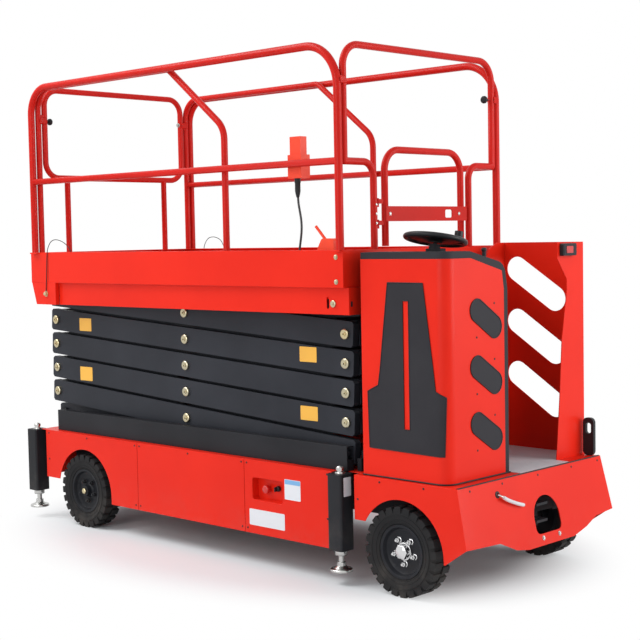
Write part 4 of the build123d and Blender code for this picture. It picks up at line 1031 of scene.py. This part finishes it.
@dataclass
class ControlCable:
    """Cable that hangs from the control box to the deck."""

    diameter: float = 0.011
    length: float = 0.430
    route: tuple[Point, ...] = (
        CABLE_EXIT,
        (0.617, -0.5585, 1.815),
        (0.625, -0.5575, 1.770),
        (0.635, -0.5565, 1.722),
        (0.635, -0.5555, 1.672),
        (0.626, -0.5545, 1.624),
        (0.615, -0.5535, 1.578),
        (0.609, -0.5525, 1.530),
        (0.606, -0.5515, 1.482),
        (0.605, -0.5505, 1.434),
    )

    def build(self) -> None:
        data = bpy.data.curves.new("control cable", "CURVE")
        data.dimensions = "3D"
        data.bevel_depth = self.diameter / 2
        data.bevel_resolution = 4
        data.use_fill_caps = True
        line = data.splines.new("NURBS")
        line.points.add(len(self.route) - 1)
        for point, place in zip(line.points, self.route):
            point.co = (*place, 1.0)
        line.order_u = 3
        line.use_endpoint_u = True
        line.resolution_u = 8
        data.materials.append(CABLE.material())
        obj = link("control cable line", data)
        settle(obj, "platform", Slot.CABLE, "control_cable")


@dataclass
class Wheels:
    """Sidewall ribs, hub nuts and wheel nuts of the four wheels."""

    wide: float = 0.112
    disc_depth: float = 0.038
    nut_circle: float = 0.059
    nuts: int = 5
    rib_foot: float = 0.003
    rib_crown: float = 0.0014
    ribs: Outline = ((0.1315, -0.0100), (0.1470, -0.0050), (0.1690, 0.0))
    stud: Outline = ((0.0, 0.026), (0.0055, 0.026), (0.0065, 0.0245), (0.0065, 0.0), (0.0, 0.0))
    nut: Outline = (
        (0.0, 0.0182), (0.0100, 0.0182), (0.0124, 0.0155), (0.0124, 0.002), (0.0155, 0.001), (0.0155, -0.001),
        (0.0, -0.001),
    )
    big_nut: Outline = (
        (0.0, 0.0015), (0.012, 0.001), (0.024, -0.001), (0.0345, -0.006), (0.0365, -0.010), (0.0365, -0.030),
        (0.0, -0.030),
    )
    collar: Outline = (
        (0.030, -0.027), (0.041, -0.027), (0.043, -0.031), (0.043, -0.037), (0.030, -0.037)
    )
    small_nut: Outline = (
        (0.0, 0.004), (0.013, 0.004), (0.0175, 0.001), (0.0175, -0.006), (0.0, -0.006)
    )

    def build(self) -> None:
        """Dresses every wheel."""
        for end in ("front", "rear"):
            for side in Side:
                low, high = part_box(f"tyre_{end}_{side.label}")
                centre = tuple((a + b) / 2 for a, b in zip(low, high))
                self.dress(f"wheel_{end}_{side.label}", side, centre, end == "front")

    def dress(self, body: str, side: Side, centre: Point, driven: bool) -> None:
        """Adds the ribs, the hub nut and the wheel nuts to one wheel.

        Args:
            body: The wheel's body.
            side: Its side of the machine.
            centre: Its centre.
            driven: Big bright hub nut and bright wheel nuts, or a small brass one and black ones.
        """
        matrix = axis_matrix(centre, (0, side, 0))
        face = self.wide / 2
        form = Form()
        for radius, drop in self.ribs:
            foot, crown, base = self.rib_foot, self.rib_crown, face + drop
            left = [(radius - foot, base - foot), (radius - crown, base + crown)]
            form.lathe([*left, (radius + crown, base + crown), (radius + foot, base - foot)], matrix, 72)
        form.piece(f"{body} sidewall", RUBBER, body, Slot.TYRE, 50.0)
        if driven:
            form = Form().lathe(self.big_nut, matrix, 6, face).lathe(self.collar, matrix, 40, face)
        else:
            form = Form().lathe(self.small_nut, matrix, 6, face)
        form.piece(f"{body} hub nut", CHROME if driven else ZINC, body, Slot.CHROME, edge=Edge(0.0012))
        form = Form()
        for index in range(self.nuts):
            turn = math.radians(270 + index * 360 / self.nuts)
            across, up = self.nut_circle * math.cos(turn), self.nut_circle * math.sin(turn)
            place = axis_matrix(tuple(matrix @ Vector((across, up, face - self.disc_depth))), (0, side, 0))
            form.lathe(self.stud, place, 14).lathe(self.nut, place, 6)
        form.piece(f"{body} nuts", CHROME if driven else BLACK, body, Slot.ZINC, 30.0)


@dataclass
class Scissor:
    """Pin heads and blank labels of the scissor pack."""

    left_x: float = -1.488
    right_x: float = 0.8377
    low_z: float = 0.615
    pitch: float = 0.1408
    pairs: int = 5
    outer_y: float = 0.481
    head_r: float = 0.0245
    head_h: float = 0.0125
    labels: tuple[tuple[int, Pair, Pair], ...] = (
        (4, (-1.208, 1.1565), (0.112, 0.074)),
        (2, (-1.212, 0.871), (0.116, 0.080)),
        (4, (0.5885, 1.069), (0.115, 0.074)),
        (2, (0.5885, 0.780), (0.117, 0.070)),
    )

    def build(self, hardware: Hardware) -> None:
        """Sets the pin heads and the labels on the outer arms.

        Args:
            hardware: Sets the fasteners.
        """
        middle = (self.left_x + self.right_x) / 2
        for level in range(self.pairs):
            spots: list[Spot] = []
            for side in Side:
                places = [(middle, level + 0.5)]
                if level < self.pairs - 1:
                    places.append((self.left_x, level + 1))
                if level:
                    places.append((self.right_x, level))
                spots += [
                    ((x, side * self.outer_y, self.low_z + rise * self.pitch), (0, side, 0)) for x, rise in places
                ]
            name, body = f"pin heads {level + 1}", f"outer_{level + 1}"
            hardware.lay(name, body, Head.PIN, spots, ZINC, self.head_r, self.head_h)
        for index, (level, (x, z), size) in enumerate(self.labels, start=1):
            name, body, at = f"arm label {index}", f"outer_{level}", (x, -self.outer_y, z)
            Plate(name, LABEL_YELLOW, at, NEARWARD, size, body=body, slot=Slot.ARM).build()


@dataclass
class Chassis:
    """Plates, screws, pocket fittings, apron trim and post hardware of the chassis."""

    half_w: float = 0.575
    top: float = 0.532
    front_x: float = 1.568
    lean: float = 0.2308
    apron_facing: Point = (0.9744, 0, 0.2249)
    pocket_back: float = 0.044
    posts_x: Pair = (0.868, -1.595)
    post_y: float = 0.568
    post_half: float = 0.045
    post_foot: float = 0.164
    post_top: float = 0.528
    screw_high: float = 0.514
    screw_low: float = 0.184
    pull_hole: Pair = (-0.301, 0.470)
    post_stud: Outline = (
        (0.0, 0.0355), (0.012, 0.0345), (0.0155, 0.031), (0.0155, 0.016), (0.0, 0.016)
    )
    post_cap: Outline = (
        (0.0, 0.0315), (0.0165, 0.0315), (0.0192, 0.0285), (0.0192, 0.0155), (0.0150, 0.0150),
        (0.0150, 0.0082), (0.0240, 0.0076), (0.0252, 0.0055), (0.0252, 0.0002), (0.0, 0.0002),
    )
    post_collar: Outline = (
        (0.0145, 0.0), (0.0335, 0.0), (0.0335, 0.004), (0.0305, 0.006), (0.0305, 0.0225), (0.0285, 0.0255),
        (0.0145, 0.0255),
    )

    def apron_point(self, y: float, z: float, out: float = 0.0) -> Point:
        """Point on the leaning apron at a height, or so far in front of it."""
        return (self.front_x + self.lean * (self.top - z) + out, y, z)

    def build(self, hardware: Hardware) -> None:
        """Adds everything.

        Args:
            hardware: Sets the fasteners.
        """
        self._labels()
        self._screws(hardware)
        self._pocket()
        self._pull_handle()
        self._posts()
        self._edge_trim()

    def _labels(self) -> None:
        """Blank plates of the near side and the near front post."""
        y = -self.half_w
        stripe = (0.5565, y - 0.0008, 0.447)
        post = (self.posts_x[0] + self.post_half, -self.post_y, 0.468)
        for plate in (
            Plate("data plate", LABEL_WHITE, (0.3735, y, 0.243), NEARWARD, (0.251, 0.082), 0.0012, 0.006),
            Plate("side label", LABEL_WHITE, (0.5565, y, 0.410), NEARWARD, (0.109, 0.100)),
            Plate("side label stripe", LABEL_BLUE, stripe, NEARWARD, (0.105, 0.022), 0.0004, 0.003),
            Plate("post label", LABEL_WHITE, post, AHEAD, (0.050, 0.090), corner=0.003, slot=Slot.BLACK),
        ):
            plate.build()

    def _screws(self, hardware: Hardware) -> None:
        """Small dark screws of the side sheets and the apron, and its two studs.

        Args:
            hardware: Sets the fasteners.
        """
        high, low = self.screw_high, self.screw_low
        screws = [(self.apron_point(y, 0.512), self.apron_facing) for y in (-0.49, -0.25, 0.03, 0.31, 0.54)]
        places = [(-1.47, high), (-1.47, 0.36), (-1.10, high), (-0.665, high), (-0.665, low), (-0.625, high)]
        places += [(-0.625, low), (-0.22, high), (0.193, high), (0.193, low), (0.233, high), (0.233, low)]
        places += [(0.790, high), (0.790, 0.30), (0.985, 0.42), (1.12, high), (1.38, high)]
        screws += [((x, side * self.half_w, z), (0, side, 0)) for side in Side for x, z in places]
        hardware.lay("body screws", "chassis", Head.SCREW, screws, HARD_BLACK, 0.0052, 0.0026)
        studs = [(self.apron_point(y, 0.232), self.apron_facing) for y in (-0.020, 0.110)]
        hardware.lay("apron studs", "chassis", Head.BOLT, studs, STEEL, 0.0075, 0.006)

    def _pocket(self) -> None:
        """Stop button and key of the recessed ground controls."""
        y = -self.half_w + self.pocket_back
        button = [(0.0, 0.036), (0.012, 0.0355), (0.019, 0.033), (0.022, 0.028), (0.022, 0.018), (0.0, 0.018)]
        form = Form().lathe(button, axis_matrix((0.350, y, 0.388), NEARWARD), 40)
        form.piece("stop button", BUTTON, "chassis", Slot.CONTROL)
        barrel = [(0.0, 0.019), (0.009, 0.019), (0.0135, 0.016), (0.0135, 0.0), (0.0, 0.0)]
        form = Form().lathe(barrel, axis_matrix((0.420, y, 0.396), NEARWARD), 32)
        form.box((0.417, y - 0.034, 0.385), (0.423, y - 0.018, 0.407))
        form.piece("key switch", HARD_BLACK, "chassis", Slot.CHROME, edge=Edge(0.0006))

    def _pull_handle(self) -> None:
        """Lowering pull: a bent rod with a pale sleeve that stands in its hole in the apron."""
        bend = (-0.285, 0.458, 0.020)
        rod = [(*self.pull_hole, -0.010), (-0.299, 0.468, 0.010), bend]
        sleeve = [bend, (-0.250, 0.440, 0.018), (-0.190, 0.417, 0.016), (-0.140, 0.402, 0.014)]
        form = Form().tube(smooth_path([self.apron_point(*place) for place in rod]), 0.004, 12)
        form.piece("pull rod", STEEL, "chassis", Slot.ZINC, 60.0)
        form = Form().tube(smooth_path([self.apron_point(*place) for place in sleeve]), 0.0085, 16)
        form.piece("pull sleeve", SLEEVE, "chassis", Slot.PLASTIC, edge=Edge(0.003, 40.0, 3))
        grommet = [(0.009, 0.0), (0.016, 0.0), (0.016, 0.002), (0.013, 0.004), (0.009, 0.004)]
        form = Form().lathe(grommet, axis_matrix(self.apron_point(*self.pull_hole), self.apron_facing), 32)
        form.piece("pull grommet", HARD_BLACK, "chassis", Slot.PLASTIC)

    def _posts(self) -> None:
        """Bright heads and collars of the four outrigger posts."""
        form = Form()
        for x in self.posts_x:
            for side in Side:
                head = axis_matrix((x, side * self.post_y, self.post_top), UP)
                foot = axis_matrix((x, side * self.post_y, self.post_foot), (0, 0, -1))
                form.lathe(self.post_stud, head, 24).lathe(self.post_cap, head, 32)
                form.lathe(self.post_collar, foot, 40)
        form.piece("post fittings", STEEL, "chassis", Slot.ZINC, 35.0)

    def _edge_trim(self) -> None:
        """Dark rubber edging along the top of the apron."""
        x, y, z = self.front_x - 0.002, self.half_w, self.top + 0.001
        form = Form().tube([(x - 0.004, -y + 0.006, z), (x, -y + 0.012, z), (x, y - 0.012, z)], 0.0036, 10)
        form.piece("apron edging", HARD_BLACK, "chassis", Slot.PLASTIC, 50.0)


@dataclass
class Console:
    """Screws, seal, edgings, lamp lens, selector and wheel pad of the driver's console."""

    near_y: float = -0.548
    door_y: float = -0.088
    end_x: float = 1.500
    rear_x: float = 1.000
    bend: float = 0.060
    foot: float = 0.532
    inset_t: float = 0.0025
    corner_gap: float = 0.0028
    corner_z: float = 1.5310
    wheel_at: Point = (1.258, -0.315, 1.618)
    wheel_tilt: float = 12.0
    selector_at: Point = (1.440, -0.190, 1.520)
    ovals: Outline = ((-0.263, 1.258), (-0.264, 1.003), (-0.265, 0.747))
    oval_lean: float = -32.0
    oval_half: float = 0.075
    oval_r: float = 0.052
    slot: Outline = ((1.253, 1.347), (1.287, 1.347), (1.287, 0.765), (1.253, 0.765))
    panel: Outline = (
        (1.165, 1.428), (1.370, 1.427), (1.424, 1.044), (1.436, 0.949), (1.484, 0.923),
        (1.476, 0.660), (1.044, 0.666), (1.037, 0.927), (1.101, 0.958), (1.113, 1.027),
    )

    def build(self, hardware: Hardware) -> None:
        """Adds everything.

        Args:
            hardware: Sets the fasteners.
        """
        screws: list[Spot] = []
        for y, z in self.ovals:
            for across, up in ((0.065, 0.067), (-0.068, -0.081)):
                screws.append(((self.end_x, y + across, z + up), AHEAD))
        hardware.lay("console screws", "chassis", Head.SCREW, screws, HARD_BLACK, 0.0050, 0.0024)
        self._seal()
        self._borders()
        self._corner()
        self._lamp()
        self._selector()
        self._wheel_pad()

    def _foot_line(self, out: float) -> list[Pair]:
        """Plan of the console's foot, drawn out by a margin.

        Args:
            out: The margin.

        Returns:
            Points (x, y) from the rear of the near side to the door.
        """
        x, y, bend = self.end_x + out, self.near_y - out, self.bend + out
        line = [(self.rear_x, y), ((self.rear_x + x - bend) / 2, y)]
        for step in range(9):
            turn = math.radians(-90 + 11.25 * step)
            line.append((x - bend + bend * math.cos(turn), y + bend + bend * math.sin(turn)))
        return [*line, (x, (y + self.door_y) / 2), (x, self.door_y)]

    def _seal(self) -> None:
        """Dark rubber line under the red sheet."""
        form = Form().tube([(x, y, self.foot + 0.0035) for x, y in self._foot_line(0.0008)], 0.0038, 10)
        form.piece("console foot seal", HARD_BLACK, "chassis", Slot.PLASTIC, 50.0)

    def _near_face(self, x: float) -> float:
        """Follows the raised panel's face along the near side and round the bend.

        Args:
            x: The station.

        Returns:
            Y of the panel's face there.
        """
        past = max(0.0, x - (self.end_x - self.bend))
        reach = self.bend + self.inset_t
        return self.near_y + self.bend - math.sqrt(reach * reach - past * past)

    def _borders(self) -> None:
        """Dark edging round the raised panel, its slot and the three ovals."""
        form = Form()
        for outline in (self.panel, self.slot):
            line: list[Point] = []
            for start, end in zip(outline, (*outline[1:], outline[0])):
                steps = max(1, round(math.dist(start, end) / 0.02))
                for step in range(steps):
                    x, z = (a + (b - a) * step / steps for a, b in zip(start, end))
                    line.append((x, self._near_face(x), z))
            form.tube([*line, line[0], line[1]], 0.0022, 8)
        for centre in self.ovals:
            form.tube(self._oval(*centre), 0.0026, 8)
        form.piece("console borders", HARD_BLACK, "chassis", Slot.PLASTIC, 50.0)

    def _oval(self, y: float, z: float) -> list[Point]:
        """Draws a leaning oval on the console's front.

        Args:
            y: Its middle across.
            z: Its middle height.

        Returns:
            Points of its edge, a little more than once round.
        """
        cos, sin = math.cos(math.radians(self.oval_lean)), math.sin(math.radians(self.oval_lean))
        line: list[Point] = []
        for step in range(50):
            turn = math.radians(7.5 * step)
            along = math.cos(turn) * self.oval_r + math.copysign(self.oval_half, math.cos(turn))
            across = math.sin(turn) * self.oval_r
            line.append((self.end_x + self.inset_t, y + along * cos - across * sin, z + along * sin + across * cos))
        return line

    def _corner(self) -> None:
        """Dark corner piece that closes the dash edge above the red sheet's bend."""
        r = self.bend - self.corner_gap
        outline = [(0.0, 0.0268), (r - 0.001, 0.0268), (r, 0.0258), (r, 0.001), (r - 0.001, 0.0), (0.0, 0.0)]
        at = (self.end_x - self.bend, self.near_y + self.bend, self.corner_z)
        Form().lathe(outline, axis_matrix(at, UP), 64).piece("dash corner", PLASTIC, "chassis", Slot.PLASTIC)

    def _lamp(self) -> None:
        """Red lens in the black frame of the tail lamp."""
        rim, lens = (1.5020, 0.422, 1.556), (1.5040, 0.416, 1.556)
        for plate in (
            Plate("tail lamp rim", PLASTIC, rim, AHEAD, (0.108, 0.052), 0.0025, 0.006, slot=Slot.PLASTIC),
            Plate("tail lamp lens", LENS, lens, AHEAD, (0.056, 0.034), 0.0030, 0.005, slot=Slot.CONTROL),
        ):
            plate.build()

    def _selector(self) -> None:
        """Selector knob and the small boot under it."""
        knob = [(0.0, 0.058), (0.007, 0.0572), (0.0118, 0.053), (0.0128, 0.047), (0.0105, 0.040), (0.0, 0.040)]
        boot = [(0.0, 0.016), (0.0105, 0.014), (0.014, 0.004), (0.020, -0.006), (0.0, -0.010)]
        matrix = axis_matrix(self.selector_at, UP)
        form = Form().lathe(knob, matrix, 24).lathe(boot, matrix, 24)
        form.piece("selector knob", HARD_BLACK, "chassis", Slot.PLASTIC, 50.0)

    def _wheel_pad(self) -> None:
        """Dished centre of the steering wheel, between its rim and its hub."""
        tilt = math.radians(self.wheel_tilt)
        top = [(0.0, 0.014), (0.022, 0.0135), (0.036, 0.0095), (0.060, 0.0035), (0.100, 0.0005), (0.130, 0.0025)]
        under = [(0.130, -0.0015), (0.100, -0.0045), (0.060, -0.0080), (0.034, -0.0130), (0.0, -0.0130)]
        form = Form().lathe([*top, *under], axis_matrix(self.wheel_at, (0, math.sin(tilt), math.cos(tilt))), 48)
        form.piece("steering pad", HARD_BLACK, "steering_wheel", Slot.PLASTIC, 45.0)


@dataclass
class Platform:
    """Clamps, knobs, bolts and small fittings of the railed deck."""

    rail_x: float = 0.929
    rail_y: float = 0.606
    end_y: float = 0.568
    deck_y: float = 0.600
    band_y: float = 0.575
    band_z: float = 1.326
    loop_x: float = -1.496
    loop_y: float = 0.520
    loop_rail_y: float = 0.564
    seam_x: float = -1.388
    stub: Outline = ((0.0, 0.016), (0.005, 0.016), (0.005, -0.012), (0.0, -0.012))
    knob: Outline = (
        (0.0, 0.036), (0.014, 0.035), (0.019, 0.030), (0.0205, 0.022), (0.017, 0.014), (0.009, 0.012),
        (0.0, 0.012),
    )
    lock_pin: Outline = (
        (0.0, 0.017), (0.009, 0.016), (0.012, 0.012), (0.012, 0.005), (0.017, 0.004), (0.017, 0.0), (0.0, 0.0)
    )
    relief: Outline = (
        (0.0125, 0.062), (0.0150, 0.060), (0.0150, 0.040), (0.0135, 0.038), (0.0135, 0.0),
        (0.0115, -0.012), (0.0072, -0.030), (0.0060, -0.030), (0.0060, -0.004), (0.0125, 0.004),
    )

    def build(self, hardware: Hardware) -> None:
        """Adds everything.

        Args:
            hardware: Sets the fasteners.
        """
        self._clamp("end frame clamp near", "platform", self.rail_x, (-self.rail_y, -self.end_y), 2.358)
        self._clamp("end frame clamp far", "platform", self.rail_x, (self.end_y, self.rail_y), 2.331)
        self._knob("end frame knob", "platform", (self.rail_x, self.end_y - 0.036, 2.331), NEARWARD)
        self._clamp("loop clamp near", "extension", self.loop_x, (-self.loop_rail_y, -self.loop_y), 2.345)
        self._clamp("loop clamp far", "extension", self.loop_x, (self.loop_y, self.loop_rail_y), 2.365)
        self._knob("loop knob", "extension", (self.loop_x, -self.loop_y + 0.014, 2.342), (0, 1, 0))
        self._fasteners(hardware)
        self._lock_pins()
        form = Form().lathe(self.relief, axis_matrix(CABLE_EXIT, UP), 28)
        form.piece("cable relief", HARD_BLACK, "platform", Slot.PLASTIC)

    def _clamp(self, name: str, body: str, x: float, posts: Pair, z: float) -> None:
        """Adds a red clamp band round two posts.

        Args:
            name: The clamp's name.
            body: The body it rides on.
            x: Station of both posts.
            posts: Y of the two posts, low first.
            z: Its middle height.
        """
        near, far = posts[0] - 0.002, posts[1] + 0.002
        form = Form()
        for high, wide in ((0.017, 0.0225), (0.010, 0.0245)):
            form.box((x - wide, near, z - high), (x + wide, far, z + high))
        # The strap takes the rails' darker red, which is painted shade.
        form.piece(f"{name} strap", RED_RAIL_SHADED, body, Slot.RED, edge=Edge(0.004))

    def _knob(self, name: str, body: str, at: Point, facing: Point) -> None:
        """Adds a black hand knob on its threaded stub.

        Args:
            name: The knob's name.
            body: The body it rides on.
            at: Its foot.
            facing: Outward direction.
        """
        matrix = axis_matrix(at, facing)
        form = Form().lathe(self.stub, matrix, 12).lathe(self.knob, matrix, 10)
        form.piece(name, HARD_BLACK, body, Slot.PLASTIC, edge=Edge(0.0015))

    def _fasteners(self, hardware: Hardware) -> None:
        """Adds the bolts, pins and screws, and black plates of painted shade in the slots at the ends of the deck's
        bands.

        Args:
            hardware: Sets the fasteners.
        """
        spots = [((self.loop_x, self.loop_y - 0.016, 2.368), NEARWARD)]
        hardware.lay("loop clamp bolt", "extension", Head.BOLT, spots, STEEL, 0.0095, 0.012)
        spots = [((0.853, side * self.band_y, self.band_z), (0, side, 0)) for side in Side]
        hardware.lay("guide pin heads", "platform", Head.PIN, spots, ZINC, 0.0165, 0.008)
        # Black plates set in the open band ends: painted shade in the slots.
        for side in Side:
            name, at = f"band end slot {side.label}", (0.951, side * 0.557, self.band_z)
            Plate(name, BLACK, at, AHEAD, (0.012, 0.026), 0.0012, 0.0055, "platform", Slot.BLACK).build()
        spots = [((0.896, side * self.deck_y, z), (0, side, 0)) for side in Side for z in (1.430, 1.545)]
        hardware.lay("deck bolts", "platform", Head.BOLT, spots, ZINC, 0.0085, 0.007)
        spots = [((0.948, y, 1.744), AHEAD) for y in (-0.270, 0.262)]
        hardware.lay("gate screws", "entry_gate", Head.SCREW, spots, STEEL, 0.0085, 0.004)
        spots = [((self.rail_x + 0.017, -0.366, z), AHEAD) for z in (1.700, 1.744, 1.788)]
        hardware.lay("hinge screws", "platform", Head.SCREW, spots, STEEL, 0.006, 0.003)

    def _lock_pins(self) -> None:
        """Lock pin of the extension on each side, its formed spring wire and a thin dark strip of painted shadow at
        the sheet's seam.
        """
        for side in Side:
            y = side * self.deck_y
            form = Form().lathe(self.lock_pin, axis_matrix((-1.414, y, 1.338), (0, side, 0)), 20)
            form.piece(f"lock pin {side.label}", ZINC, "platform", Slot.ZINC)
            out = y + side * 0.004
            wire = [
                (-1.180, y - side * 0.012, 1.581), (-1.196, y - side * 0.008, 1.606), (-1.232, y, 1.634),
                (-1.290, out, 1.650), (-1.344, out, 1.642), (-1.380, out, 1.604), (-1.392, out, 1.560),
                (-1.398, out, 1.500), (-1.404, out, 1.430), (-1.412, out, 1.350),
            ]
            form = Form().tube(smooth_path(wire), 0.0022, 10)
            form.piece(f"lock pin wire {side.label}", HARD_BLACK, "platform", Slot.BLACK, 60.0)
            # Thin dark red strip: painted shadow along the step at the deck sheet's seam.
            form = Form().box((self.seam_x - 0.001, y - 0.0006, 1.408), (self.seam_x + 0.001, y + 0.0006, 1.572))
            form.piece(f"deck seam {side.label}", SEAM_SHADOW, "platform", Slot.BLACK, edge=Edge(0.0002))


def main() -> None:
    """Builds the whole scene."""
    logging.basicConfig(level=logging.WARNING)
    Camera().build()
    ControlCable().build()
    Studio().build()
    Skins().build()
    Wheels().build()
    hardware = Hardware()
    for part in (Scissor(), Chassis(), Console(), Platform()):
        part.build(hardware)


if __name__ == "__main__":
    main()
